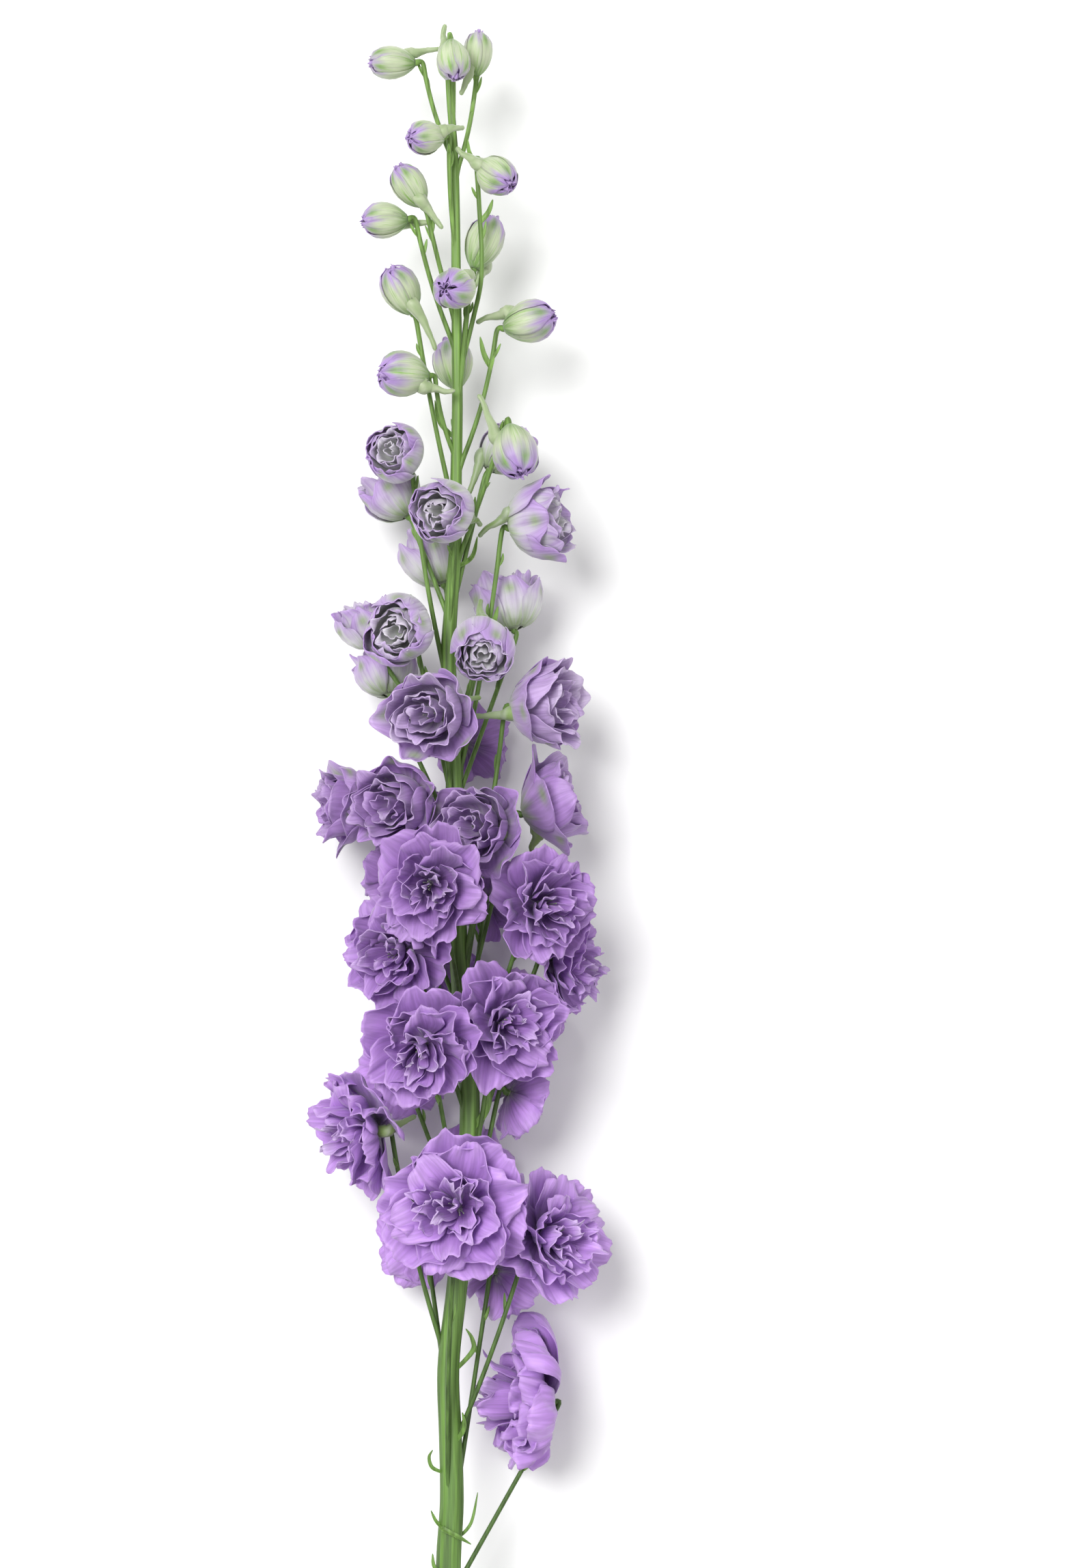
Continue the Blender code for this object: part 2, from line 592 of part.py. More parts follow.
def stem_pieces(flowers, lines):
    """Return the ribbed stem, its end bud, all stalks and the narrow leaves."""
    pieces = []
    sides = 10
    rows = STEM_CURVE[::4]
    verts = []
    for x, along, r in rows:
        for s in range(sides):
            ang = s * math.tau / sides
            rad = r * (1.0 if s % 2 == 0 else 0.90)
            verts.append(np.array([x + math.cos(ang) * rad, along, math.sin(ang) * rad]))
    faces = []
    for k in range(len(rows) - 1):
        for s in range(sides):
            n = (s + 1) % sides
            i0 = k * sides + s
            i1 = k * sides + n
            faces.append((i0, i1, i1 + sides))
            faces.append((i0, i1 + sides, i0 + sides))
    verts.append(np.array([rows[0][0], rows[0][1], 0.0]))
    verts.append(np.array([rows[-1][0], rows[-1][1] + 1.0, 0.0]))
    cap = len(verts) - 2
    last = (len(rows) - 1) * sides
    for s in range(sides):
        n = (s + 1) % sides
        faces.append((cap, n, s))
        faces.append((cap + 1, last + s, last + n))
    pieces.append((verts, faces))
    for flower, line in zip(flowers, lines):
        count = len(line)
        wide = [STALK_RADIUS * (1.15 if k == 0 else 1.0) for k in range(count)]
        wide[-1] = STALK_RADIUS * 1.25
        pieces.append(tube(line, wide, wide, STALK_SIDES, [0.3, 0.1, 0.9], flower.number))
    for width, way in LEAVES:
        line = [np.array(p, float) for p in way]
        count = len(line)
        wide = [width / 2 * (0.9, 1.15, 1.0, 0.55)[k] for k in range(count)]
        wide[-1] = width / 2 * 0.45
        thick = [LEAF_THICK / 2 * 1.2 for _ in line]
        pieces.append(tube(line, wide, thick, 4, [0.0, 0.4, 0.9], 0.0))
    names = [f.name for f in flowers]
    for name, part, reach in STALK_LEAVES:
        line = even_points(lines[names.index(name)], 101)
        root = line[int(part * 100)]
        way = [root, root + np.array(reach) * 0.45 + np.array([reach[0] * 0.2, 0, 0]), root + reach]
        pieces.append(tube(way, [0.8, 0.9, 0.4], [0.45, 0.42, 0.4], 4, [0.0, 0.4, 0.9], 0.0))
    end = smooth_line(STEM_LINE, 1)[-1]
    tip = np.array([end[0], end[1], 0.0])
    line = [tip + np.array([0.0, h, 0.4 * h]) for h in (-1.5, 0.5, 2.5, 4.5)]
    pieces.append(tube(line, [0.9, 1.7, 1.6, 0.6], [0.9, 1.7, 1.6, 0.6], 6, [1.0, 0.0, 0.0], 0.0))
    return pieces


def lower_rest(flower):
    """Bring a bloom that carries the spike down until its lowest petals pass the surface."""
    verts, _ = flower_mesh(flower, None)
    low = min(v[2] for v in verts)
    flower.base[2] -= low + STEM_HEIGHT + REST_CUT


def cut_flat(obj):
    """Take off what lies below the surface and close the cut with flat faces."""
    bm = bmesh.new()
    bm.from_mesh(obj.data)
    geom = bm.verts[:] + bm.edges[:] + bm.faces[:]
    cut = bmesh.ops.bisect_plane(bm, geom=geom, plane_co=(0, 0, 0), plane_no=(0, 0, -1),
                                 clear_outer=True)
    edges = [e for e in cut["geom_cut"] if isinstance(e, bmesh.types.BMEdge)]
    bmesh.ops.holes_fill(bm, edges=edges, sides=0)
    bmesh.ops.recalc_face_normals(bm, faces=bm.faces)
    bm.to_mesh(obj.data)
    bm.free()


def main():
    """Build every node."""
    for obj in list(bpy.data.objects):
        bpy.data.objects.remove(obj, do_unlink=True)
    flowers = [Flower(i, row) for i, row in enumerate(FLOWERS)]
    settle(flowers, 160)
    for f in flowers:
        if f.name in REST_FLOWERS:
            lower_rest(f)
    sets = [f.balls() for f in flowers]
    along = np.arange(2.0, 652.0, 2.5)
    stem_p = np.array([stem_at(a)[0] for a in along])
    stem_r = np.array([stem_at(a)[1] for a in along])
    spurs = []
    spur_balls = []
    for i, f in enumerate(flowers):
        if f.spur is None:
            spurs.append(None)
            continue
        others = [s for j, s in enumerate(sets) if j != i] + spur_balls
        balls = np.concatenate([s[0] for s in others] + [stem_p])
        sizes = np.concatenate([s[1] for s in others] + [stem_r])
        line = clear_line(pick_spur(f), SPUR_RADIUS, (balls, sizes), 0, 40)
        spurs.append(line)
        spur_balls.append(line_balls(line, SPUR_RADIUS))
    lines = []
    for i, f in enumerate(flowers):
        others = [s for j, s in enumerate(sets) if j != i] + spur_balls
        others.append((sets[i][0][1:], sets[i][1][1:]))
        balls = np.concatenate([s[0] for s in others])
        sizes = np.concatenate([s[1] for s in others])
        lines.append(clear_line(stalk_line(f), STALK_RADIUS, (balls, sizes), 2, 60))
    join_all("stem", stem_pieces(flowers, lines), (0.22, 0.40, 0.14, 1.0))
    for f, spur in zip(flowers, spurs):
        verts, faces = flower_mesh(f, spur)
        color = {"bud": (0.62, 0.66, 0.52, 1.0), "half": (0.55, 0.45, 0.72, 1.0),
                 "bloom": (0.42, 0.32, 0.75, 1.0)}[f.kind]
        obj = new_object(f.name, verts, faces, color)
        if f.name in REST_FLOWERS:
            cut_flat(obj)


main()
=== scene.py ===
"""Looks of the double delphinium spike: ruffled petals, buds, spurs, stalks and the ribbed stem."""
import functools
import math

import bpy
import numpy as np
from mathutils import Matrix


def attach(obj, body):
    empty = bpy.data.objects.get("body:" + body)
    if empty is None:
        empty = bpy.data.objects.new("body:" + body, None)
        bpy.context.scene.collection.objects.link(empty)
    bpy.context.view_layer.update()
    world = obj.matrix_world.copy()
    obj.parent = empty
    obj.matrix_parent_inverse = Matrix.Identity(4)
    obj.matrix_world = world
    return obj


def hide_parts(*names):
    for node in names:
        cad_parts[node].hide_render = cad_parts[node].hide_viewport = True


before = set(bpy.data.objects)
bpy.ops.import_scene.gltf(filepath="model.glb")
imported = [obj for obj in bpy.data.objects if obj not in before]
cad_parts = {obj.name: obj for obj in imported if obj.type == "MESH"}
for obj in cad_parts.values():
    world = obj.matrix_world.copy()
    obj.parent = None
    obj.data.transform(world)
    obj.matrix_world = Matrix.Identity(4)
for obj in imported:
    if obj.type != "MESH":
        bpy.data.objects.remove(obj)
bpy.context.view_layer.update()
bpy.ops.object.select_all(action="DESELECT")

# lengths are in millimetres on the table that the spike lies on, until MM makes them metres
MM = 0.001
STEM_HEIGHT = 44.0
SHIFT = np.array((-3.1, -330.7, STEM_HEIGHT))
JOINT_GAP = 0.35
CROWD_GAP = 1.2
STEM_GAP = 2.2
SETTLE_ROUNDS = 160
STALK_RADIUS = 1.2
SPUR_RADIUS = 1.8
REST_CUT = 1.2
PETAL_THICK = 0.9
BLOOM_WALL = 0.24
CUP_WALL = 0.28
LEAF_THICK = 0.45
FLOOR_GAP = 1.5
LONGEST_MOVE = 1.5
# the height of a petal's middle, as a part of its length
PETAL_MIDDLE = 0.42
# angles: the turn from one flower to the next, the petals' distance from a stalk, any turn at all
GOLDEN = math.radians(137.5)
GATE = 0.62
ANY_TURN = 6.3
# how fine the grids are: flowers in front, flowers on the back, petals inside a flower
NEAR_DETAIL = 1.08
BACK_DETAIL = 0.72
INNER_DETAIL = 0.92
PETAL_SEED = 4100
SPUR_SEED = 900
THREAD_SEED = 700
LEAF_SEED = 77
REST_FLOWERS = ("bloom_20", "bloom_24", "bloom_25")
BACK_FLOWERS = ("half_12", "bloom_08", "bloom_14", "bloom_18") + tuple("bloom_%d" % n for n in range(20, 28))
# camera, in metres from the stem's line, and its sensor in its own unit
CAMERA_AWAY = 2.8
PICTURE_HEIGHT = 0.620
SENSOR = 36.0
# sun lamps: name, place, spread in degrees, strength
LAMPS = [("key_light", (-0.65, 0.6, 1.8), 28.0, 2.75), ("fill_light", (1.0, -0.5, 1.5), 50.0, 0.45)]


def places(text):
    """Read numbers in threes."""
    return np.array(text.split(), float).reshape(-1, 3)


# stem line: across, along from the cut end, radius
STEM_LINE = places("""
    -1.9 0 5   -1.9 52 5   -0.5 78 4.8   -1.1 105 4.6   -1.9 132 4.4   1.6 164 4.2
    5.2 205 4.1   6.5 240 4   2.2 294 3.8   0.3 361 3.3   -1.9 410 3   -1.1 429 2.8
    0.8 456 2.5   1.1 483 2.3   1.6 510 2.2   1.4 537 2.1   1.1 564 1.9   0.8 591 1.8
    0.3 613 1.6   -1.1 629 1.4   -2 641 1.2   -2.2 650 1.1
""")

# name, stalk joint, middle of the mouth or tip, width, where the stalk leaves the stem, spur tip if any
FLOWERS = """
bud_01  -15 647 2  -33 647 4  13  607  -6 653 -1
bud_02  -1 655 10  1 639 17  13  621  -4 661 3
bud_03  9 642 -2  10 660 -1  11  602  4 634 5
bud_04  -4 617 8  -17 616 18  13  571  4 621 10
bud_05  11 607 6  23 597 16  15  521  1 612 8
bud_06  -12 590 4  -22 606 6  13  542  -4 581 8
bud_07  -18 585 4  -36 584 6  14  532  -6 584 0
bud_08  8 566 -6  16 587 -10  15  517  7 557 -7
bud_09  -16 548 0  -25 566 3  15  467  -6 534 3
bud_10  5 557 9  -3 556 27  16  507  9 562 2
bud_11  -10 523 6  -29 524 14  18  490  0 516 9
bud_12  20 542 3  40 547 8  17  484  9 545 0
bud_13  1 519 -14  -2 539 -16  16  467
bud_14  22 503 13  27 483 22  18  446  11 516 6
half_01  14 486 -6  25 503 -12  19  428  6 476 -2
half_02  -18 490 3  -26 494 20  23  397
half_03  -18 468 -9  -29 484 -12  24  426
half_04  0 470 11  -6 468 29  25  413  11 465 8
half_05  -4 441 -14  -11 460 -20  25  406
half_06  22 463 4  43 468 10  30  359  10 461 2
half_07  24 423 -12  20 443 -17  27  353
half_08  13 421 8  11 412 26  25  378  10 435 4
half_09  -31 416 -3  -38 432 -2  21  370
half_10  -17 422 6  -24 424 24  28  351  -16 436 2
half_11  -25 397 -12  -28 414 -18  26  340
half_12  10 411 -14  13 417 -36  24  367
bloom_01  -5 389 14  -11 390 36  36  340  10 397 8
bloom_02  23 392 3  45 394 14  37  278  7 388 2
bloom_03  27 350 -3  48 357 -2  44  270  30 334 -8
bloom_04  -32 353 -6  -51 353 -2  34  294
bloom_05  -18 354 6  -27 355 25  37  289  -9 357 4
bloom_06  13 345 14  7 345 33  36  283  24 341 4
bloom_07  -6 324 28  -11 321 50  46  267
bloom_08  -21 326 -12  -31 330 -24  26  267
bloom_09  32 314 12  42 314 32  44  240
bloom_10  37 293 -4  56 289 2  47  213
bloom_11  -18 296 14  -27 297 34  46  226
bloom_12  -10 261 22  -14 256 44  46  186
bloom_13  18 268 11  24 267 33  48  172
bloom_14  21 240 -6  33 236 -14  34  164
bloom_15  -28 228 0  -49 221 10  52  131  -15 231 2
bloom_16  2 198 26  1 195 50  60  62
bloom_17  32 183 4  48 187 22  52  98
bloom_18  16 169 -8  24 162 -24  34  66
bloom_19  39 116 -15  11 119 -11  55  39
bloom_20  4 378 -18  8 380 -38  32  324
bloom_21  -6 344 -18  -11 344 -38  34  289
bloom_22  13 316 -18  17 318 -36  38  256
bloom_23  -9 290 -20  -13 290 -38  39  229
bloom_24  20 267 -18  23 264 -38  40  199
bloom_25  -21 248 -16  -24 245 -36  38  186
bloom_26  4 210 -20  4 208 -38  38  129
bloom_27  -12 180 -15  -17 175 -33  36  112
"""

# places that the longer stalks pass on their way up, read from the lowest one
STALK_WAYS = {
    "bud_01": "-4.3 611 2  -9.7 624 3  -14 639 2",
    "bud_02": "1.5 631 2  1.5 643 -1  0.5 653 -1  -1 661 2",
    "bud_03": "6.5 608 0  8.4 618 -1  8.9 634 -2",
    "bud_04": "-1.6 583 3  -3.8 602 6",
    "bud_05": "7 531 4  8.4 542 6  10.5 564 8  12.5 578 8  13.5 592 7",
    "bud_06": "-3.2 549 3  -5 562 5  -8.6 580 5",
    "bud_07": "-6.5 540 3  -12.4 553 4  -13 566 3  -12.5 580 0",
    "bud_09": "-5.5 484 3  -8.6 499 3  -11.3 516 2  -14.3 533 1",
    "bud_11": "-6.5 502 5  -9.7 511 6",
    "bud_12": "8.7 492 3  13.8 504 4  18.6 522 4  19.6 534 4",
    "bud_14": "11.9 465 4  15 479 3  16 491 -1  18 502 1",
    "half_02": "-12 425 3  -15.8 442 3  -17 460 2  -19 477 1",
    "half_06": "17 422 3  19.2 437 3  18.6 450 3",
    "bloom_02": "12 330 3  19 357 4  21.5 374 4  20.5 384 3",
    "bloom_15": "-8.6 139 3  -16 162 4  -21 180 3  -25 204 0",
    "bloom_16": "-6.4 69 3  -7.3 105 4  -8.6 137 6  -6.5 151 11  -2.4 166 19",
    "bloom_17": "4.6 98 5  9 108 13  14 121 16  19.5 141 14  23.8 164 9",
    "bloom_18": "7.4 78 -2  7.4 97 -4  5.6 115 -4  7.4 134 -5  9 150 -6",
    "bloom_19": "8.4 52 0  22.7 86 -8  37 104 -15",
}

# narrow leaves and small leaf points on the stem: width, then the places they pass
LEAVES = [
    (1.8, "-4.5 69 2  -4 68 5.6  2 65 6.2  7 62 5.4"),
    (1.2, "-4.5 68 1  -7 71 2  -8.8 75 3"),
    (1.3, "-4.5 90 1  -8.4 92 2  -9.6 96 3  -8.2 99 4"),
    (1.4, "-4.5 50 2  -7.6 53 3  -8.2 58 3"),
    (1.6, "0.5 130 1  7.6 138 3  7.4 143 4  5 147 5"),
    (1.1, "2 64 0  7 70 1  9.6 82 1"),
    (1.6, "1 102 2  4.4 108 5  3.6 114 6"),
    (2.4, "6 224 1  12.4 232 4  14.4 240 5  13.6 248 5"),
    (2.2, "2 273 1  -6.4 281 4  -8.4 288 5"),
    (1.4, "8.4 608 -1  6.2 612 0  5.6 617 0"),
    (1.6, "1.5 498 0  -5.4 505 -4  -7.4 514 -6"),
    (1.6, "2 448 0  7.4 452 -3  9.4 460 -5"),
    (1.6, "-1 380 -1  -5.4 386 -6  -7.4 394 -8"),
]
# leaves on stalks: flower, part of the stalk, reach
STALK_LEAVES = [("bud_12", 0.72, (-4, 12, 1)), ("half_06", 0.6, (4, 10, 2)), ("bud_05", 0.7, (5, 9, 1))]

# balls that stand for a flower while it settles, in parts of its depth and half width: place and size
# on the axis, then the distance from the axis, place, size and count of each ring
BALLS = {
    "bud": ([(0.30, 0.80), (0.58, 0.84), (0.84, 0.42)], []),
    "half": ([(0.25, 0.42), (0.55, 0.50)], [(0.52, 0.62, 0.46, 6)]),
    "bloom": ([(0.20, 0.22), (0.55, 0.34)],
              [(0.42, 0.58, 0.24, 6), (0.62, 0.80, 0.15, 8), (0.82, 0.58, 0.17, 10)]),
}
# where a spur leaves the wall of its flower, and how many sides that wall has
WALLS = {"bud": (0.65, 0.16, 10), "half": (0.56, 0.20, 10), "bloom": (0.42, 0.18, 15)}
# rings of a bloom that can touch the surface: half width, depth, width at the short petals
LOW_RINGS = ((1.0, 0.58, 0.82), (0.74, 0.84, 0.78), (0.40, 0.98, 0.78))


def unit(v):
    """Return a vector of length one."""
    v = np.asarray(v, float)
    return v / max(np.linalg.norm(v), 1e-9)


def smooth_line(points, steps):
    """Return a smooth curve through points, in steps from each to the next."""
    p = np.asarray(points, float)
    p = np.concatenate([p[:1], p, p[-1:]])
    t = (np.arange(steps) / steps)[:, None]
    out = []
    for a, b, c, d in zip(p, p[1:], p[2:], p[3:]):
        out.extend(0.5 * (2 * b + (c - a) * t + (2 * a - 5 * b + 4 * c - d) * t * t
                          + (3 * b - a - 3 * c + d) * t ** 3))
    return np.array(out + [p[-1]])


STEM_CURVE = smooth_line(STEM_LINE, 4)


def stem_middle(along):
    """Return the stem's place across and its radius."""
    return [np.interp(along, STEM_CURVE[:, 1], STEM_CURVE[:, n]) for n in (0, 2)]


def stem_spots(along):
    """Return points in the middle of the stem."""
    return np.column_stack([stem_middle(along)[0], along, np.zeros(len(along))])


def around(count, start):
    """Return count angles round a flower."""
    return [start + k * math.tau / count for k in range(count)]


class Flower:
    """One flower: its place, its size and its balls."""

    def __init__(self, number, line):
        """Take one line of the table."""
        words = line.split()
        row = np.array(words[1:], float)
        self.name = words[0]
        self.number = number
        self.kind = self.name.split("_")[0]
        self.anchor = row[:3]
        self.base = self.anchor.copy()
        reach = row[3:6] - self.base
        self.depth = float(np.linalg.norm(reach))
        self.radius = row[6] / 2.0
        self.leave = row[7]
        self.spur = row[8:] - self.base if len(row) > 8 else None
        self.spur_line = None
        self.w = unit(reach)
        u = unit(np.cross((0.0, 1.0, 0.0) if abs(self.w[1]) < 0.8 else (0.0, 0.0, 1.0), self.w))
        v = np.cross(self.w, u)
        turn = number * GOLDEN
        self.u = u * math.cos(turn) + v * math.sin(turn)
        self.v = v * math.cos(turn) - u * math.sin(turn)

    def side(self, angle):
        """Return the direction across at one angle or many."""
        return np.multiply.outer(np.cos(angle), self.u) + np.multiply.outer(np.sin(angle), self.v)

    def at(self, part):
        """Return a place on the axis, in parts of the depth."""
        return self.base + self.w * part * self.depth

    def balls(self):
        """Return middles and radii of the balls in this flower."""
        axis, rings = BALLS[self.kind]
        spots = [self.at(part) for part, size in axis]
        sizes = [size for part, size in axis]
        for far, part, size, count in rings:
            spots.extend(self.at(part) + self.side(around(count, 0.0)) * far * self.radius)
            sizes += [size] * count
        return np.array(spots), np.array(sizes) * self.radius


def push_apart(a, b, gap):
    """Return the push that takes the balls a away from the balls b."""
    d = a[0][:, None, :] - b[0][None, :, :]
    far = np.linalg.norm(d, axis=2)
    deep = np.maximum(a[1][:, None] + b[1][None, :] + gap - far, 0.0)
    if not deep.any():
        return np.zeros(3)
    way = (d / np.maximum(far, 0.01)[:, :, None] * deep[:, :, None]).sum(axis=(0, 1))
    size = np.linalg.norm(way)
    return way / size * deep.max() if size > 1e-9 else np.array([0.0, 0.0, deep.max()])


def stem_balls(start, stop, step):
    """Return balls along the stem."""
    along = np.arange(start, stop, step)
    return stem_spots(along), stem_middle(along)[1]


def settle(flowers):
    """Move crowded flowers apart, mostly forward or back."""
    stem = stem_balls(4.0, 650.0, 3.0)
    ease = np.array([0.7, 0.7, 1.3]) * 0.35
    for step in range(SETTLE_ROUNDS):
        sets = [f.balls() for f in flowers]
        moves = np.zeros((len(flowers), 3))
        for i, a in enumerate(flowers):
            for j, b in enumerate(flowers[:i]):
                if np.linalg.norm(a.base - b.base) <= a.radius + b.radius + a.depth + b.depth:
                    push = push_apart(sets[j], sets[i], CROWD_GAP) * ease
                    moves[j] += push
                    moves[i] -= push
            moves[i] += push_apart(sets[i], stem, STEM_GAP) * 0.5
            low = (sets[i][0][:, 2] - sets[i][1]).min()
            moves[i][2] += max(FLOOR_GAP - STEM_HEIGHT - low, 0.0) * 0.6
        for f, move in zip(flowers, moves):
            f.base += move * min(LONGEST_MOVE / max(np.linalg.norm(move), 1e-9), 1.0)
            if step < SETTLE_ROUNDS * 0.7:
                f.base += (f.anchor - f.base) * 0.02


def lower_rest(f):
    """Bring a bloom down until its lowest petals pass the surface."""
    low = []
    for layer, (far, part, short) in enumerate(LOW_RINGS):
        for k, angle in enumerate(around(15, 0.0)):
            spot = (k + layer) % 3
            out = (short if spot == 0 else 1.0) + 0.05 * math.sin(k * 2.9 + f.number * 1.7 + layer)
            rise = -0.09 if spot == 0 else 0.07 * math.sin(2.0 * angle + f.number + layer * 2.1)
            if spot == 2:
                rise += 0.05
            for lip in (0.0, PETAL_THICK * 0.75):
                wide = far * out * f.radius - lip
                low.append((f.at(part + rise) + f.side(angle) * wide + f.w * lip)[2])
    f.base[2] -= min(low) + STEM_HEIGHT + REST_CUT


def clear_line(points, radius, sets, fixed_ends, rounds):
    """Bend a stalk or a spur round sets of balls."""
    p = np.array(points, float)
    balls, sizes = (np.concatenate(column) for column in zip(*sets))
    last = len(p) - fixed_ends
    for _ in range(rounds):
        move = np.zeros_like(p)
        for k in range(1, last):
            for part in (0.0, 0.33, 0.67) if k + 1 < last else (0.0,):
                d = p[k] * (1 - part) + p[min(k + 1, len(p) - 1)] * part - balls
                far = np.linalg.norm(d, axis=1)
                deep = sizes + radius + 0.6 - far
                for m in np.nonzero(deep > 0)[0]:
                    push = d[m] / max(far[m], 0.01) * deep[m] * 0.5
                    move[k] += push * (1 - part)
                    if part > 0:
                        move[k + 1] += push * part
        p += move
        for k in range(1, len(p) - max(fixed_ends, 1)):
            p[k] = p[k] * 0.8 + (p[k - 1] + p[k + 1]) * 0.1
    return p


def bezier(a, b, c, d):
    """Return five points on a curve with two handles."""
    t = np.linspace(0.0, 1.0, 5)[:, None]
    s = 1 - t
    return list(a * s ** 3 + b * 3 * s * s * t + c * 3 * s * t * t + d * t ** 3)


def even_points(line, count):
    """Return count points at even distances along a line."""
    p = np.asarray(line, float)
    run = np.concatenate([[0.0], np.cumsum(np.linalg.norm(np.diff(p, axis=0), axis=1))])
    at = np.linspace(0.0, run[-1], count)
    return list(np.column_stack([np.interp(at, run, p[:, n]) for n in range(3)]))


def line_balls(line, radius):
    """Return balls along a line."""
    spots = np.repeat(line, 2, axis=0)[:-1]
    spots[1::2] = (line[:-1] + line[1:]) / 2
    return spots, np.full(len(spots), radius)


def spur_path(f):
    """Draw the spur from the wall of its flower to its tip."""
    far, part, sides = WALLS[f.kind]
    aim = unit(f.spur)
    side = max(f.side(around(sides, math.pi / sides)), key=lambda way: way @ aim)
    start = f.at(part) + side * far * f.radius
    end = f.base + f.spur
    length = np.linalg.norm(end - start)
    out = unit(side * 0.8 - f.w * 0.6)
    return bezier(start, start + out * length * 0.45, end + unit(start - end) * length * 0.2, end)


def stalk_path(f):
    """Draw the stalk from inside the stem to its flower."""
    start = stem_spots([f.leave])[0]
    end = f.base - f.w * JOINT_GAP
    if f.name in STALK_WAYS:
        ways = places(STALK_WAYS[f.name])
        parts = np.arange(1, len(ways) + 1) / (len(ways) + 1)
        ways += np.outer(parts, f.base - f.anchor)
        return even_points(smooth_line([start, *ways, end - f.w * 2.5], 6), 8) + [end]
    rise = max(end[1] - start[1], 6.0)
    out = end - stem_spots([min(end[1], 650.0)])[0]
    out[1] = 0.0
    leave = unit(out) * 3.0 + np.array([0.0, 0.42 * rise, 0.0])
    neck = end - f.w * 3.0
    arrive = neck - f.w * min(0.25 * rise, 10.0) - np.array([0.0, 0.12 * rise, 0.0])
    return bezier(start, start + leave, arrive, neck) + [end]


def place_flowers():
    """Return the settled flowers with their spurs and stalks."""
    flowers = [Flower(i, line) for i, line in enumerate(FLOWERS.strip().splitlines())]
    settle(flowers)
    for f in flowers:
        if f.name in REST_FLOWERS:
            lower_rest(f)
    sets = [f.balls() for f in flowers]
    stem = stem_balls(2.0, 652.0, 2.5)
    spurs = []
    for i, f in enumerate(flowers):
        if f.spur is not None:
            in_the_way = sets[:i] + sets[i + 1:] + spurs + [stem]
            f.spur_line = clear_line(spur_path(f), SPUR_RADIUS, in_the_way, 0, 40)
            spurs.append(line_balls(f.spur_line, SPUR_RADIUS))
    for i, f in enumerate(flowers):
        middles, sizes = sets[i]
        in_the_way = sets[:i] + sets[i + 1:] + spurs + [(middles[1:], sizes[1:])]
        f.stalk = clear_line(stalk_path(f), STALK_RADIUS, in_the_way, 2, 60)
    return flowers


# petal outlines: half width at even steps from the claw to the tip
OUTLINES = {
    "sepal": (0.16, 0.34, 0.56, 0.76, 0.91, 0.99, 1.0, 0.93, 0.78),
    "frill": (0.20, 0.34, 0.52, 0.72, 0.88, 0.98, 1.0, 0.94, 0.80),
    "curl": (0.34, 0.46, 0.60, 0.78, 0.92, 1.0, 0.98, 0.84, 0.58),
    "bud_leaf": (0.60, 0.84, 0.96, 1.0, 1.0, 0.98, 0.95, 0.88, 0.70),
    "cup_leaf": (0.60, 0.84, 0.96, 1.0, 1.0, 0.96, 0.88, 0.74, 0.50),
}


def coords(mesh):
    """Return the places of a mesh's points."""
    flat = np.zeros(len(mesh.vertices) * 3)
    mesh.vertices.foreach_get("co", flat)
    return flat.reshape(-1, 3)


def flat_places(mesh):
    """Return places on a flat blank, sideways and from claw to tip."""
    return coords(mesh)[:, :2] * (1.0, 0.5) + (0.0, 0.5)


@functools.lru_cache(maxsize=None)
def blank(outline, columns, rows):
    """Cut a flat petal from a grid, row by row."""
    bpy.ops.mesh.primitive_grid_add(x_subdivisions=columns, y_subdivisions=rows, size=2.0)
    sheet = bpy.context.object
    mesh = sheet.data
    grid = flat_places(mesh)
    steps = np.linspace(0.0, 1.0, len(OUTLINES[outline]))
    bpy.ops.object.mode_set(mode="EDIT")
    bpy.ops.mesh.select_mode(type="VERT")
    for row in np.unique(np.round(grid[:, 1], 5)):
        bpy.ops.mesh.select_all(action="DESELECT")
        bpy.ops.object.mode_set(mode="OBJECT")
        for i in np.nonzero(np.abs(grid[:, 1] - row) < 1e-4)[0]:
            mesh.vertices[int(i)].select = True
        bpy.ops.object.mode_set(mode="EDIT")
        wide = float(np.interp(row, steps, OUTLINES[outline]))
        bpy.ops.transform.resize(value=(wide, 1.0, 1.0), center_override=(0.0, 0.0, 0.0))
    bpy.ops.object.mode_set(mode="OBJECT")
    faces = np.array([tuple(p.vertices) for p in mesh.polygons])
    petal = (*flat_places(mesh).T, *grid.T, faces, grid)
    bpy.data.objects.remove(sheet, do_unlink=True)
    bpy.data.meshes.remove(mesh)
    return petal


def ramp(low, high, x):
    """Return a smooth rise from nought to one."""
    t = np.clip((x - low) / (high - low), 0.0, 1.0)
    return t * t * (3 - 2 * t)


def hump(x, wide):
    """Return a smooth hump round nought."""
    return np.exp(-(x / wide) ** 2)


def add_object(name, data):
    """Put a new object in the scene and pick it."""
    obj = bpy.data.objects.new(name, data)
    bpy.context.scene.collection.objects.link(obj)
    bpy.ops.object.select_all(action="DESELECT")
    bpy.context.view_layer.objects.active = obj
    obj.select_set(True)
    return obj


def thicken(obj, thick):
    """Turn a sheet into a wall."""
    wall = obj.modifiers.new("thickness", "SOLIDIFY")
    wall.thickness = thick * MM
    wall.offset = 0.0
    bpy.ops.object.modifier_apply(modifier="thickness")


def colour_points(mesh, tone):
    """Give every point its tones; on petals: violet, green, painted shade in folds and at the claw, and
    margin.
    """
    layer = mesh.color_attributes.new(name="tone", type="FLOAT_COLOR", domain="POINT")
    layer.data.foreach_set("color", np.broadcast_to(tone, (len(mesh.vertices), 4)).reshape(-1))


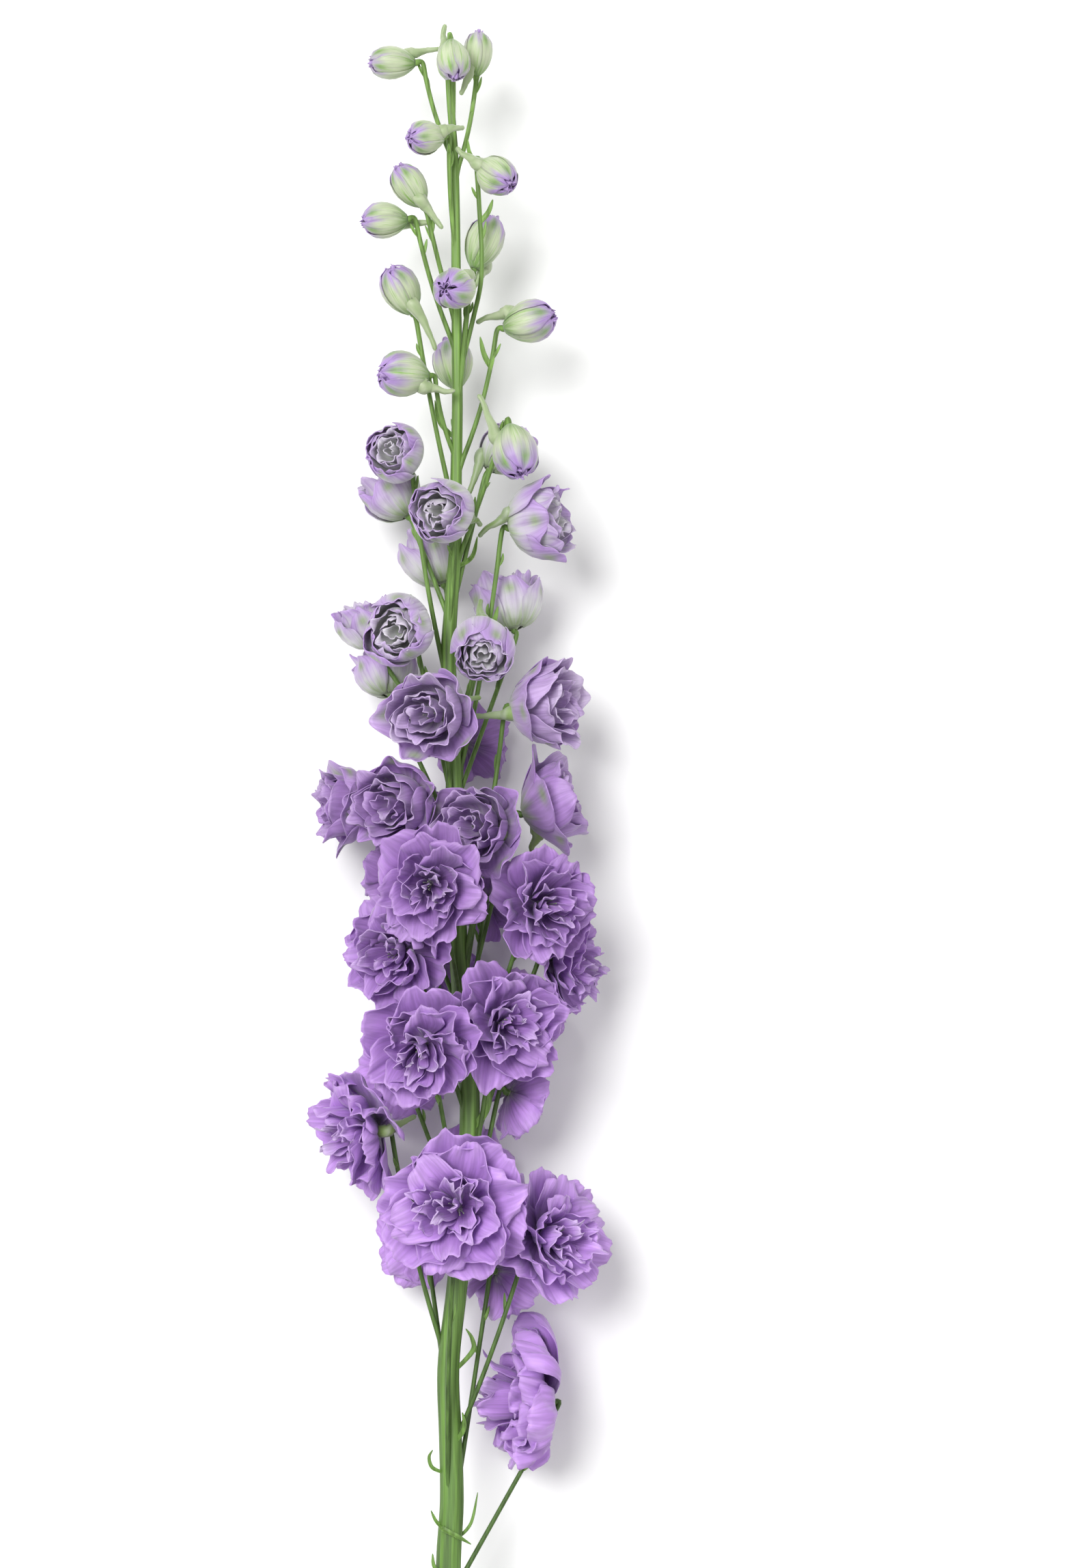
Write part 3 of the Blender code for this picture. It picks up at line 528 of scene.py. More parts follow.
class Bloomer:
    """Gathers the petals of one flower in one mesh."""

    def __init__(self, flower):
        """Start with nothing."""
        self.f = flower
        self.rng = np.random.default_rng(PETAL_SEED + flower.number)
        self.petals = []
        self.shift = np.zeros(3)
        self.hood = np.zeros(3)
        self.count = 0

    def spin(self):
        """Draw any angle."""
        return self.rng.uniform(0, ANY_TURN)

    def lean_from_spur(self, much):
        """Let the mouth of a cup slide away from the spur."""
        f = self.f
        if f.spur_line is not None:
            way = f.base - f.spur_line[-1]
            self.hood = unit(way - f.w * (way @ f.w)) * much * f.radius

    def add(self, r, h, out, y, aside, faces, grid, *tone):
        """Add a petal by its points' distance, height and direction."""
        points = (self.f.base + r[:, None] * out + h[:, None] * self.f.w + aside
                  + ramp(0.1, 0.8, y)[:, None] * self.shift)
        vein_place = (0.5 + self.rng.integers(0, 40), self.rng.integers(0, 40))
        uv = grid * (0.5, 1.0) + vein_place
        self.petals.append((points, faces + self.count, np.clip(np.column_stack(tone), 0, 1), uv))
        self.count += len(points)

    def petal(self, outline, size, angle, path, half_wide, hollow, ruffle, waves, tones,
              ragged=0.085, pleat=0.45, roll=9.0, fade=0.0):
        """Shape one petal on a path from the axis outward."""
        f, rng, spin = self.f, self.rng, self.spin
        x, y, px, py, faces, grid = blank(outline, *size)
        # round tip with a small point or a notch in it
        y = y - (0.20 * px * px - rng.normal(-0.03, 0.035) * hump(px, 0.22)) * ramp(0.55, 1.0, py)
        # how near a point is to the margin, and its angle round the petal's middle
        turn = np.arctan2(x * 1.1, y - PETAL_MIDDLE)
        edge = np.maximum(np.abs(px), ramp(0.0, 1.0, py)) ** 2 * ramp(0.12, 0.5, py)
        bite = 0.5
        for often, part in ((2.6, 0.5), (7.3, 0.4), (13.0, 0.35)):
            bite = bite + part * np.sin(turn * often * rng.uniform(0.9, 1.1) + spin())
        keep = 1.0 - ragged * bite * edge ** 3
        y = PETAL_MIDDLE + (y - PETAL_MIDDLE) * keep
        # the path of the middle line in the plane of the flower's axis
        a, b, c = np.array(path) * (f.radius, f.depth)
        s = np.clip(y, 0.0, 1.2)[:, None]
        r, h = (a * (1 - s) ** 2 + b * 2 * s * (1 - s) + c * s * s).T
        ahead = (b - a) * 2 * (1 - s) + (c - b) * 2 * s
        tr, th = (ahead / np.maximum(np.linalg.norm(ahead, axis=1), 1e-6)[:, None]).T
        bend = np.clip(x * keep * half_wide / hollow, -2.4, 2.4)
        lift = hollow * (1 - np.cos(bend))
        across = hollow * np.sin(bend)
        # ruffles grow towards the margin, a soft crease runs down the middle
        wave = np.sin(turn * waves + spin()) + 0.35 * np.sin(turn * waves * 2.3 + spin())
        fine = np.sin(turn * 11.0 * rng.uniform(0.9, 1.1) + spin())
        broad = np.sin(px * 2.2 + spin()) * np.sin(y * 3.0 + spin())
        pleats = np.sin(px * rng.uniform(3.5, 7.0) + spin()) + 0.5 * np.sin(px * 11 + spin())
        lift = lift + ruffle * (
            edge * wave + 0.22 * edge ** 4 * fine + 0.25 * broad * ramp(0.1, 0.6, y)
            - 0.2 * hump(px, 0.18) * ramp(0.1, 0.5, y) + pleat * pleats * ramp(0.1, 0.85, y))
        # one margin of many petals turns up, and the tip bends back or in
        turned = np.maximum(rng.choice((-1.0, 1.0)) * px - 0.3, 0) / 0.7
        lift = lift + rng.uniform(0.0, 0.30) * half_wide * turned ** 2 * ramp(0.2, 0.8, y)
        nod = f.radius * rng.normal(0.03, 0.07) * (np.maximum(py - 0.6, 0) / 0.4) ** 2
        r = r + nod * (0.6 if path[2][0] > 0.9 else 1.0)
        h = h - nod * 0.7
        # roll about the middle line, so that one margin lies over the next petal
        roll = np.radians(rng.normal(roll, 6.0) + rng.normal(0.0, 10.0) * y)
        across, lift = (across * np.cos(roll) - lift * np.sin(roll),
                        lift * np.cos(roll) + across * np.sin(roll))
        across = across + rng.normal(0.0, 0.06) * y * y * half_wide
        violet, pale_to, green, rim = tones
        purple = np.maximum(ramp(*pale_to, y + 0.06 * np.sin(px * 9 + angle * 3)),
                            0.75 * edge ** 3 * ramp(0.3, 0.6, y))
        # the front of the petal looks inward and up; its third tone is painted shade, strongest at the claw
        # and along the pleats
        self.add(r - th * lift, h + tr * lift, f.side(angle), y,
                 across[:, None] * f.side(angle + math.pi / 2), faces, grid,
                 violet * purple * (1 - fade * rng.random() * ramp(0.55, 1.0, y)),
                 green * (1 - ramp(0.05, 0.42, y + 0.08 * np.cos(px * 6))),
                 0.95 * (1 - ramp(0.05, 0.72, y)) + 0.10 * (1 - pleats),
                 rim * edge ** 3)

    def wrapped(self, outline, size, angle, profile, span, lean, ruffle, waves, tones, tip=0.03,
                lumps=0.02, ragged=0.03, crease=0.25, swell=0.0, flare=0.0, reach=1.0, spot=0.0,
                fade=0.0, lap_shade=0.30, deep=0.0):
        """Shape one sepal that hugs the flower, along a profile."""
        f, rng, spin = self.f, self.rng, self.spin
        x, y, px, py, faces, grid = blank(outline, *size)
        y = y - (0.14 * px * px - rng.normal(tip, 0.02) * hump(px, 0.3)) * ramp(0.6, 1.0, py)
        edge = np.maximum(np.abs(px), ramp(0.3, 1.0, py)) ** 2
        turn = np.arctan2(x * 1.1, y - PETAL_MIDDLE)
        bite = 0.5 + 0.5 * np.sin(turn * waves * 1.9 + spin())
        y = y - ragged * bite * edge ** 2 * ramp(0.4, 1.0, y)
        steps = np.linspace(0, 1, len(profile))
        r, h = (np.interp(y, steps, column) for column in np.transpose(profile))
        ang = angle + x * span / 2
        r = r * f.radius * (1.0 + (reach - 1.0) * ramp(0.4, 1.0, y))
        r = r * (1.0 + lumps * np.sin(3.0 * ang + f.number * 1.3) * ramp(0.1, 0.6, y))
        h = h + np.clip(y - 1.0, 0, 0.2) + lumps * np.sin(2.0 * ang + f.number) * ramp(0.3, 1.0, y)
        wave = np.sin(turn * waves + spin()) + 0.4 * np.sin(turn * waves * 2.2 + spin())
        push = (lean * px * ramp(0.0, 0.3, y) + ruffle * wave * edge * ramp(0.45, 1.0, y)
                - crease * hump(px, 0.2) * ramp(0.2, 0.8, y) + swell
                + flare * f.radius * np.maximum(y - 0.72, 0) ** 2 / 0.08)
        violet, pale_to, green, rim = tones
        streak = 0.07 * np.sin(px * 11 + angle * 5) + 0.04 * np.sin(px * 23 + angle)
        purple = np.maximum(ramp(*pale_to, y + 0.13 * (np.abs(px) - 0.3) + streak),
                            0.9 * ramp(0.88, 1.0, y))
        # the third tone is painted shade: darker at the claw, along the middle crease, at the margins where
        # sepals lap, and low down by the share deep
        lap_shade = lap_shade * np.maximum(np.abs(px) - 0.5, 0) * 2.0 * (1 - ramp(0.75, 1.0, y))
        self.add(np.maximum(r + push, 0.15), h * f.depth, f.side(ang), y,
                 self.hood * ramp(0.35, 1.0, h)[:, None], faces, grid,
                 violet * purple * (1 - fade * rng.random() * ramp(0.6, 1.0, y)),
                 np.maximum(green * (1 - ramp(0.0, 0.45, y + streak)),
                            spot * hump(px, 0.24) * hump(y - 0.76, 0.12)),
                 0.25 * (1 - ramp(0.0, 0.3, y)) + 0.25 * hump(px, 0.12) + lap_shade
                 + deep * (1 - ramp(0.1, 0.75, y)),
                 rim * edge ** 3 * ramp(0.4, 0.9, y))

    def finish(self, thick):
        """Make the mesh of the petals and their thickness."""
        points, faces, tone, uv = (np.concatenate(column) for column in zip(*self.petals))
        points = points + SHIFT
        # petals that would pass the surface are pressed up against it
        low = points[:, 2]
        pressed = 0.25 + 0.75 * np.exp(np.minimum(low - 1.0, 0.0) / 0.75)
        points[:, 2] = np.where(low < 1.0, pressed, low)
        mesh = bpy.data.meshes.new(self.f.name + "_petals")
        mesh.from_pydata((points * MM).tolist(), [], faces.tolist())
        colour_points(mesh, tone)
        loops = np.zeros(len(mesh.loops), dtype=np.int32)
        mesh.loops.foreach_get("vertex_index", loops)
        mesh.uv_layers.new(name="petal_uv").data.foreach_set("uv", uv[loops].reshape(-1))
        obj = add_object(self.f.name + "_petals", mesh)
        thicken(obj, thick)
        bpy.ops.object.shade_smooth()
        return obj


def finer(size, detail):
    """Return the grid of a petal for the detail of its flower."""
    return max(int(size[0] * detail), 6), max(int(size[1] * detail), 6)


# layers of an open bloom from the outside in: outline, grid, count, path of the middle line in parts
# of half width and depth, half width, bend across, ruffle, waves, and tones: the most violet, from
# where to where it rises, green at the claw, and the pale margin
ROSE_LAYERS = [
    ("sepal", (17, 15), 5, ((0.05, 0.08), (0.62, 0.06), (1.0, 0.52)), 0.62, 1.30, 0.062, 3.2,
     (1.0, (-0.1, 0.22), 0.5, 0.45)),
    ("sepal", (16, 14), 5, ((0.04, 0.14), (0.56, 0.20), (0.84, 0.72)), 0.52, 0.74, 0.060, 3.2,
     (1.0, (-0.1, 0.22), 0.3, 0.5)),
    ("frill", (15, 13), 5, ((0.03, 0.20), (0.52, 0.32), (0.63, 0.90)), 0.41, 0.48, 0.052, 3.3,
     (1.0, (0.0, 0.35), 0.2, 0.6)),
]
OPEN_LAYERS = [
    ("sepal", (17, 15), 6, ((0.05, 0.08), (0.60, 0.08), (1.01, 0.50)), 0.56, 1.40, 0.062, 3.3,
     (1.0, (-0.1, 0.22), 0.5, 0.45)),
    ("sepal", (17, 14), 6, ((0.04, 0.16), (0.50, 0.26), (0.83, 0.68)), 0.46, 0.90, 0.060, 3.4,
     (1.0, (-0.1, 0.22), 0.3, 0.5)),
    ("frill", (15, 13), 5, ((0.03, 0.22), (0.40, 0.46), (0.62, 0.86)), 0.37, 0.52, 0.054, 3.4,
     (1.0, (0.0, 0.3), 0.2, 0.6)),
]
# the heart of an open bloom, ring by ring: grid, count, places on the profile, turn, ruffle and fading
HEART_RINGS = [
    ((14, 13), 5, ((0.04, 0.20), (0.20, 0.34), (0.35, 0.54), (0.42, 0.76), (0.43, 0.97)), 1.55, 0.058, 0.35),
    ((12, 12), 4, ((0.03, 0.24), (0.12, 0.38), (0.22, 0.58), (0.27, 0.78), (0.27, 1.00)), 1.75, 0.052, 0.6),
    ((9, 11), 3, ((0.02, 0.28), (0.07, 0.42), (0.12, 0.60), (0.14, 0.80), (0.12, 1.00)), 1.90, 0.042, 0.8),
]
# the outer sepals of this bloom spread wide at the joint and then stand up like a bowl
BOWL = "bloom_19"


def grow_bloom(f, detail):
    """Open bloom: broad sepals, ruffled petals and a pale curled heart."""
    b = Bloomer(f)
    rng = b.rng
    draw = rng.uniform
    big = f.radius
    start = b.spin()
    slide = f.side(b.spin()) * big
    bowl = f.name == BOWL
    crimp = 1.25 if bowl else 1.0
    style = {"pleat": 0.85, "ragged": 0.045} if bowl else {}
    # the stalk comes in between the petals of the bowl, which stand aside for it
    came = f.stalk[-2] - f.base
    gate = math.atan2(came @ f.v, came @ f.u)
    layers = OPEN_LAYERS if big > 25 else ROSE_LAYERS
    for level, (outline, size, count, path, wide, hollow, ruffle, waves, tones) in enumerate(layers):
        b.shift = slide * 0.035 * level
        for k, angle in enumerate(around(count + bowl, start + level * 0.62)):
            reach = min(rng.normal(1.05, 0.07), 1.13)
            rise = rng.normal(1.0, 0.08)
            lift = 0.03 if k % 2 else 0.0
            bulge = draw(0.9, 1.12)
            (r0, h0), (r1, h1), (r2, h2) = path
            if bowl:
                r1, h1, h2 = r1 + 0.40, h1 - 0.22 + 0.04 * level, h2 + 0.06 - 0.10 * level
            own = ((r0, h0 + lift), (r1 * bulge, h1 + lift), (r2 * reach, h2 * rise + lift))
            angle = rng.normal(angle, 0.14)
            broad = wide * big * draw(0.85, 1.12)
            off_gate = math.remainder(angle - gate, math.tau)
            if bowl and abs(off_gate) < GATE:
                angle = gate + math.copysign(GATE, off_gate)
                broad = broad * 0.78
            b.petal(outline, finer(size, detail), angle, own, broad, hollow * big * draw(0.85, 1.3),
                    ruffle * big * crimp * draw(0.6, 1.4),
                    waves * crimp ** 2 * draw(0.8, 1.25), tones,
                    roll=9.0 if level < 2 else 13.0, fade=0.1, **style)
    for level, (size, count, path, span, ruffle, fade) in enumerate(HEART_RINGS):
        b.shift = slide * (0.10 + 0.02 * level)
        for k, angle in enumerate(around(count, start + 0.4 + level * 0.9)):
            wide = np.repeat((1.0, rng.normal(1.0, 0.10)), (2, 3))
            tall = np.repeat((1.0, rng.normal(1.0, 0.07)), (3, 2))
            # heart petals carry strong painted shade low down (deep)
            b.wrapped("cup_leaf", finer(size, detail * INNER_DETAIL), rng.normal(angle, 0.25),
                      np.array(path) * np.column_stack([wide, tall]), span * draw(0.75, 1.15),
                      0.04 * big, ruffle * big * draw(0.7, 1.5), draw(2.8, 4.4),
                      (1.0, (-0.4, 0.1), 0.1, 0.8), swell=0.02 * big * (1 if k % 2 else -1), ragged=0.07,
                      crease=draw(-0.02, 0.07) * big, lumps=0.04, tip=draw(-0.10, 0.10),
                      flare=draw(-0.02, 0.14), deep=0.9, fade=fade)
    return b


# blooms that are still deep bells, and half-open flowers whose sepals still close over the mouth
OPENING = {"bloom_02": "bell", "bloom_03": "trumpet"}
OPENING.update({"bloom_%02d" % n: "wide" for n in (1, 4, 5, 6)})
OPENING.update({"half_%02d" % n: "closing" for n in (1, 2, 4, 8, 10, 12)})
PALER = ("bloom_01", "bloom_02")
# sepals of a cup, by how far it has opened: tones and profile
CUPS = {
    "half": ((0.98, (0.30, 1.0), 0.85, 0.35),
             [(0.24, 0.03), (0.60, 0.13), (0.84, 0.30), (0.98, 0.50), (1.0, 0.70), (0.92, 0.93)]),
    "closing": ((0.98, (0.30, 1.0), 0.85, 0.35),
                [(0.24, 0.03), (0.62, 0.15), (0.88, 0.34), (1.0, 0.54), (0.97, 0.74), (0.86, 0.90),
                 (0.76, 0.99)]),
    "bell": ((0.95, (0.0, 0.9), 0.8, 0.4),
             [(0.14, 0.03), (0.42, 0.13), (0.64, 0.28), (0.82, 0.46), (0.95, 0.62), (1.02, 0.78)]),
    "wide": ((0.96, (-0.1, 0.55), 0.6, 0.4),
             [(0.14, 0.03), (0.46, 0.14), (0.72, 0.28), (0.88, 0.44), (0.98, 0.58), (1.04, 0.74)]),
    "trumpet": ((1.0, (-0.1, 0.6), 0.8, 0.4),
                [(0.14, 0.02), (0.38, 0.12), (0.58, 0.27), (0.76, 0.42), (0.92, 0.54), (1.04, 0.64)]),
}
# petals inside a cup, ring by ring: grid, count, places on the profile, the two top places of a
# closed and of an open cup, turn, ruffle and tones
CUP_RINGS = [
    ((15, 14), 5, [(0.20, 0.10), (0.56, 0.22), (0.78, 0.44), (0.83, 0.68)],
     (0.79, 0.87, 0.69, 0.98), (0.87, 0.88, 0.93, 1.05), 1.75, 0.060, (0.95, (0.46, 0.98), 0.2, 0.25)),
    ((13, 13), 5, [(0.10, 0.20), (0.42, 0.32), (0.60, 0.50), (0.64, 0.72)],
     (0.59, 0.88, 0.52, 0.98), (0.66, 0.90, 0.70, 1.05), 1.75, 0.058, (0.72, (0.50, 1.00), 0.1, 0.35)),
    ((12, 12), 4, [(0.05, 0.25), (0.28, 0.40), (0.41, 0.58), (0.43, 0.76)],
     (0.41, 0.89, 0.35, 0.97), (0.44, 0.92, 0.46, 1.04), 2.05, 0.055, (0.42, (0.50, 1.05), 0.2, 0.4)),
    ((10, 10), 3, [(0.03, 0.30), (0.14, 0.45), (0.22, 0.62), (0.22, 0.76)],
     (0.22, 0.87, 0.17, 0.94), (0.24, 0.92, 0.24, 1.0), 2.5, 0.045, (0.22, (0.46, 1.05), 0.4, 0.3)),
]


def grow_half(f, detail):
    """Half-open flower: a cup of sepals round rings of ruffled petals."""
    b = Bloomer(f)
    rng = b.rng
    draw = rng.uniform
    big = f.radius
    start = b.spin()
    way = OPENING.get(f.name, "half")
    closing = way == "closing"
    wide = way == "wide"
    bell = f.kind == "bloom"
    leaf = "bud_leaf" if closing else "cup_leaf"
    (violet, (pale, full), green, rim), profile = CUPS[way]
    b.lean_from_spur(0.14 if closing or wide else 0.06)
    for k, angle in enumerate(around(5, start)):
        flare = draw(-0.05, 0.10) if closing else draw(-0.04, 0.16)
        if wide:
            flare = draw(-0.12, 0.30)
        fold = draw(0.05, 0.085) * (1.5 if wide else 1.0)
        late = draw(-0.18, 0.08)
        tones = (violet * draw(0.82, 1.0), (pale + late, full + late), green, rim)
        b.wrapped(leaf, finer((17, 16), detail), angle, profile, 1.85, 0.5, fold * big,
                  draw(2.6, 3.8), tones, swell=(0.35 if k % 2 else -0.35) * draw(0.6, 1.6),
                  spot=0.9, ragged=0.035, crease=0.025 * big, lumps=0.04,
                  tip=draw(-0.03, 0.05) if closing else draw(-0.04, 0.08), flare=flare,
                  reach=draw(0.84, 1.12) if wide else draw(0.94, 1.06))
    narrow = 0.84 if way in ("wide", "trumpet") else 1.0
    for level, (size, count, low, closed, opened, span, ruffle, tones) in enumerate(CUP_RINGS):
        r4, h4, r5, h5 = closed if closing else opened
        if bell:
            tones = (0.76 if f.name in PALER else 0.90, (-0.2, 0.6), 0.1, 0.65)
        for k, angle in enumerate(around(count, start + 0.6 + level * 0.7)):
            grow = rng.normal(1.0, 0.045)
            tall = rng.normal(1.0, 0.045)
            path = np.array(low + [(r4 * grow, h4), (r5 * grow, h5 * tall)]) * (narrow, 1.0)
            # bells carry a little painted shade low down (deep)
            b.wrapped(leaf, finer(size, detail * INNER_DETAIL), rng.normal(angle, 0.2), path,
                      span * draw(0.85, 1.12), 0.03 * big, ruffle * big * draw(0.8, 1.6),
                      draw(2.6, 4.2), tones, swell=0.022 * big * (1 if k % 2 else -1),
                      ragged=0.045, crease=draw(0.0, 0.06) * big, lumps=0.04,
                      tip=draw(-0.08, 0.06),
                      flare=draw(-0.14, 0.18) if closing else draw(-0.04, 0.12),
                      deep=0.25 if bell else 0.0, fade=0.55)
    return b


# profiles of a bud's sepals and of the petals packed inside them
EGG = [(0.22, 0.01), (0.48, 0.10), (0.76, 0.24), (0.95, 0.42), (1.0, 0.58), (0.92, 0.76), (0.64, 0.91),
       (0.20, 0.99)]
CORE = [(0.16, 0.05), (0.52, 0.12), (0.76, 0.28), (0.86, 0.46), (0.80, 0.64), (0.62, 0.80), (0.34, 0.90),
        (0.06, 0.96)]


def grow_bud(f, detail):
    """Bud: five lapped sepals on an egg, violet at the tip."""
    b = Bloomer(f)
    rng = b.rng
    big = f.radius
    start = b.spin()
    violet = 0.65 if f.number < 3 else 1.0
    blush = max(0.64 - 0.035 * max(f.number - 5, 0), 0.36)
    for k, angle in enumerate(around(5, start)):
        # sepals carry painted shade where they lap (lap_shade)
        b.wrapped("bud_leaf", (14, 16), angle, EGG, 1.95, 0.38, rng.uniform(0.03, 0.07) * big, 3.4,
                  (violet, (blush, 0.92), 0.95, 0.1), swell=0.13 if k % 2 else -0.13, spot=0.95,
                  ragged=0.05, crease=0.03 * big, tip=rng.uniform(0.0, 0.06), lap_shade=0.6)
    # crumpled petal tips that push out between the sepals
    for angle in around(4, start + 0.3):
        far = 0.16 + 0.12 * rng.random()
        b.petal("curl", (8, 8), rng.normal(angle, 0.3), ((0.05, 0.55), (0.42, 0.84), (far, 1.03)),
                0.34 * big, 0.22 * big, 0.07 * big, 4.0, (1.0, (-0.6, 0.0), 0.0, 0.5), ragged=0.12)
    for angle in around(4, start + 0.5):
        b.wrapped("bud_leaf", (9, 10), angle, CORE, 2.1, 0.3, 0.08 * big, 5.0,
                  (1.0, (0.4, 0.8), 0.4, 0.3), ragged=0.08, crease=0.03 * big)
    return b


class Skin:
    """A material, put together node by node."""

    def __init__(self, name):
        """Start with what every skin uses."""
        self.mat = bpy.data.materials.new(name)
        self.mat.use_nodes = True
        self.tree = self.mat.node_tree
        tone = self.add("Attribute", {}, attribute_name="tone")
        self.tones = self.add("SeparateColor", {0: tone.outputs["Color"]}).outputs
        self.margin = tone.outputs["Alpha"]
        self.spot = self.add("TexCoord", {}).outputs["Object"]
        self.along = self.add("SeparateXYZ", {0: self.spot}).outputs[1]

    def fill(self, node, inputs):
        """Set or link the inputs of a node."""
        for key, value in inputs.items():
            if isinstance(value, bpy.types.NodeSocket):
                self.tree.links.new(value, node.inputs[key])
            else:
                node.inputs[key].default_value = value

    def add(self, kind, inputs, **settings):
        """Add a node with its settings and inputs."""
        node = self.tree.nodes.new("ShaderNode" + kind)
        for key, value in settings.items():
            setattr(node, key, value)
        self.fill(node, inputs)
        return node

    def work(self, operation, *values, clamp=False):
        """Work out a sum or a product."""
        return self.add("Math", dict(enumerate(values)), operation=operation, use_clamp=clamp).outputs[0]

    def mix(self, factor, a, b):
        """Blend two colours."""
        ends = [(*end, 1) if isinstance(end, tuple) else end for end in (a, b)]
        return self.add("Mix", {0: factor, 6: ends[0], 7: ends[1]}, data_type="RGBA").outputs[2]

    def noise(self, place, scale, detail):
        """Return soft noise."""
        return self.add("TexNoise", {"Vector": place, "Scale": scale, "Detail": detail}).outputs[0]

    def stretched(self, place, scale):
        """Return places stretched by three factors."""
        return self.add("Mapping", {0: place, "Scale": scale}).outputs[0]

    def between(self, value, low, high, least, most):
        """Turn one range of a value into another."""
        return self.add("MapRange", {"Value": value, "From Min": low, "From Max": high,
                                     "To Min": least, "To Max": most}).outputs[0]

    def finish(self, colour, shine, relief, strength, surface):
        """Give the surface its colour and its relief."""
        scaled = self.add("VectorMath", {0: colour, "Scale": shine}, operation="SCALE")
        bump = self.add("Bump", {"Strength": strength, "Distance": 0.0003, "Height": relief})
        self.fill(self.tree.nodes["Principled BSDF"], {
            "Base Color": scaled.outputs[0], "Normal": bump.outputs[0], "Specular IOR Level": 0.35,
            **surface})
        return self.mat


def petal_finish(name, pale, violet, deep, green, rim, gloss, streak, high):
    """Silky petal skin, with fine veins that fan from the claw."""
    skin = Skin(name)
    purple, leafy, fold_shade = skin.tones
    place = skin.add("UVMap", {}, uv_map="petal_uv").outputs[0]
    veins = skin.noise(skin.stretched(place, (19.0, 1.5, 1.0)), 1.0, 3.0)
    cloud = skin.noise(place, 2.6, 2.0)
    lines = skin.between(veins, 0.52, 0.66, 0.0, streak)
    in_fold = skin.work("ADD", skin.work("MULTIPLY", purple, 0.6), 0.4)
    base = skin.mix(purple, pale, violet)
    base = skin.mix(skin.work("MULTIPLY_ADD", lines, skin.work("SUBTRACT", 1.0, purple), leafy,
                              clamp=True), base, green)
    # painted shade: folds and claws are mixed towards the deep colour
    base = skin.mix(skin.work("MULTIPLY", skin.work("MULTIPLY", fold_shade, in_fold), 0.8), base, deep)
    base = skin.mix(skin.work("MULTIPLY", skin.margin, 0.45), base, rim)
    shine = skin.work("MULTIPLY", skin.between(veins, 0.35, 0.68, 0.80, 1.10),
                      skin.between(cloud, 0.3, 0.7, 0.93, 1.06))
    # painted shade: flowers nearer the tip of the spike are drawn a little darker
    shine = skin.work("MULTIPLY", shine, skin.between(skin.along, -0.15, 0.02, 0.96, high))
    return skin.finish(base, shine, veins, 0.35, {
        "Roughness": gloss, "Subsurface Weight": 0.15, "Subsurface Radius": (0.8, 0.6, 1.0),
        "Subsurface Scale": 0.0016, "Sheen Weight": 0.25, "Sheen Roughness": 0.4})


def green_finish(name, fresh, dark, light):
    """Fresh green skin, with fine lines along the stem."""
    skin = Skin(name)
    crest, pale, shade = skin.tones
    fibre = skin.noise(skin.stretched(skin.spot, (800.0, 26.0, 800.0)), 1.0, 4.0)
    height = skin.work("MULTIPLY", skin.between(skin.along, -0.30, 0.33, 0.0, 1.0), 0.5)
    # painted highlight on the rib crests and painted shade in grooves, at the sides and underneath; the stem
    # is also lighter towards the top
    base = skin.mix(height, skin.mix(crest, dark, fresh), light)
    base = skin.mix(shade, skin.mix(pale, base, light), dark)
    return skin.finish(base, skin.between(fibre, 0.3, 0.7, 0.58, 1.46), fibre, 0.4, {
        "Roughness": 0.48, "Subsurface Weight": 0.12, "Subsurface Radius": (0.5, 1.0, 0.3),
        "Subsurface Scale": 0.001})


# petal finishes: name, pale, violet, the colour of painted shade in folds, green, pale margin, roughness,
# vein streaks, and the brightness left by painted shade at the spike's tip
PETAL_VIOLET = petal_finish(
    "petal_violet", (0.68, 0.62, 0.74), (0.52, 0.28, 0.74), (0.17, 0.055, 0.30),
    (0.34, 0.50, 0.15), (0.68, 0.48, 0.86), 0.52, 0.1, 0.73)
BELL_LILAC = petal_finish(
    "bell_lilac", (0.76, 0.73, 0.78), (0.53, 0.31, 0.73), (0.20, 0.08, 0.34),
    (0.32, 0.48, 0.15), (0.70, 0.54, 0.86), 0.52, 0.2, 0.84)
HALF_LILAC = petal_finish(
    "half_open_lilac", (0.76, 0.75, 0.77), (0.47, 0.27, 0.68), (0.24, 0.12, 0.36),
    (0.30, 0.45, 0.14), (0.66, 0.52, 0.80), 0.50, 0.35, 0.86)
BUD_CREAM = petal_finish(
    "bud_cream", (0.58, 0.65, 0.44), (0.44, 0.28, 0.64), (0.24, 0.19, 0.32),
    (0.20, 0.37, 0.075), (0.62, 0.50, 0.74), 0.46, 0.65, 0.94)
# stem finish: name, fresh green, the dark green of painted shade, and the light green of painted highlight
# on crests, of the paler top and of cut ends
STEM_GREEN = green_finish(
    "stem_green", (0.103, 0.215, 0.038), (0.028, 0.060, 0.010), (0.265, 0.43, 0.11))


def spots_of(obj):
    """Return the points of an object as places on the table."""
    return coords(obj.data) / MM - SHIFT


def colour_mesh(obj, tone):
    """Give a small part its tones and its vein place."""
    colour_points(obj.data, tone)
    obj.data.uv_layers.new(name="petal_uv").data.foreach_set("uv", np.full(2 * len(obj.data.loops), 0.5))


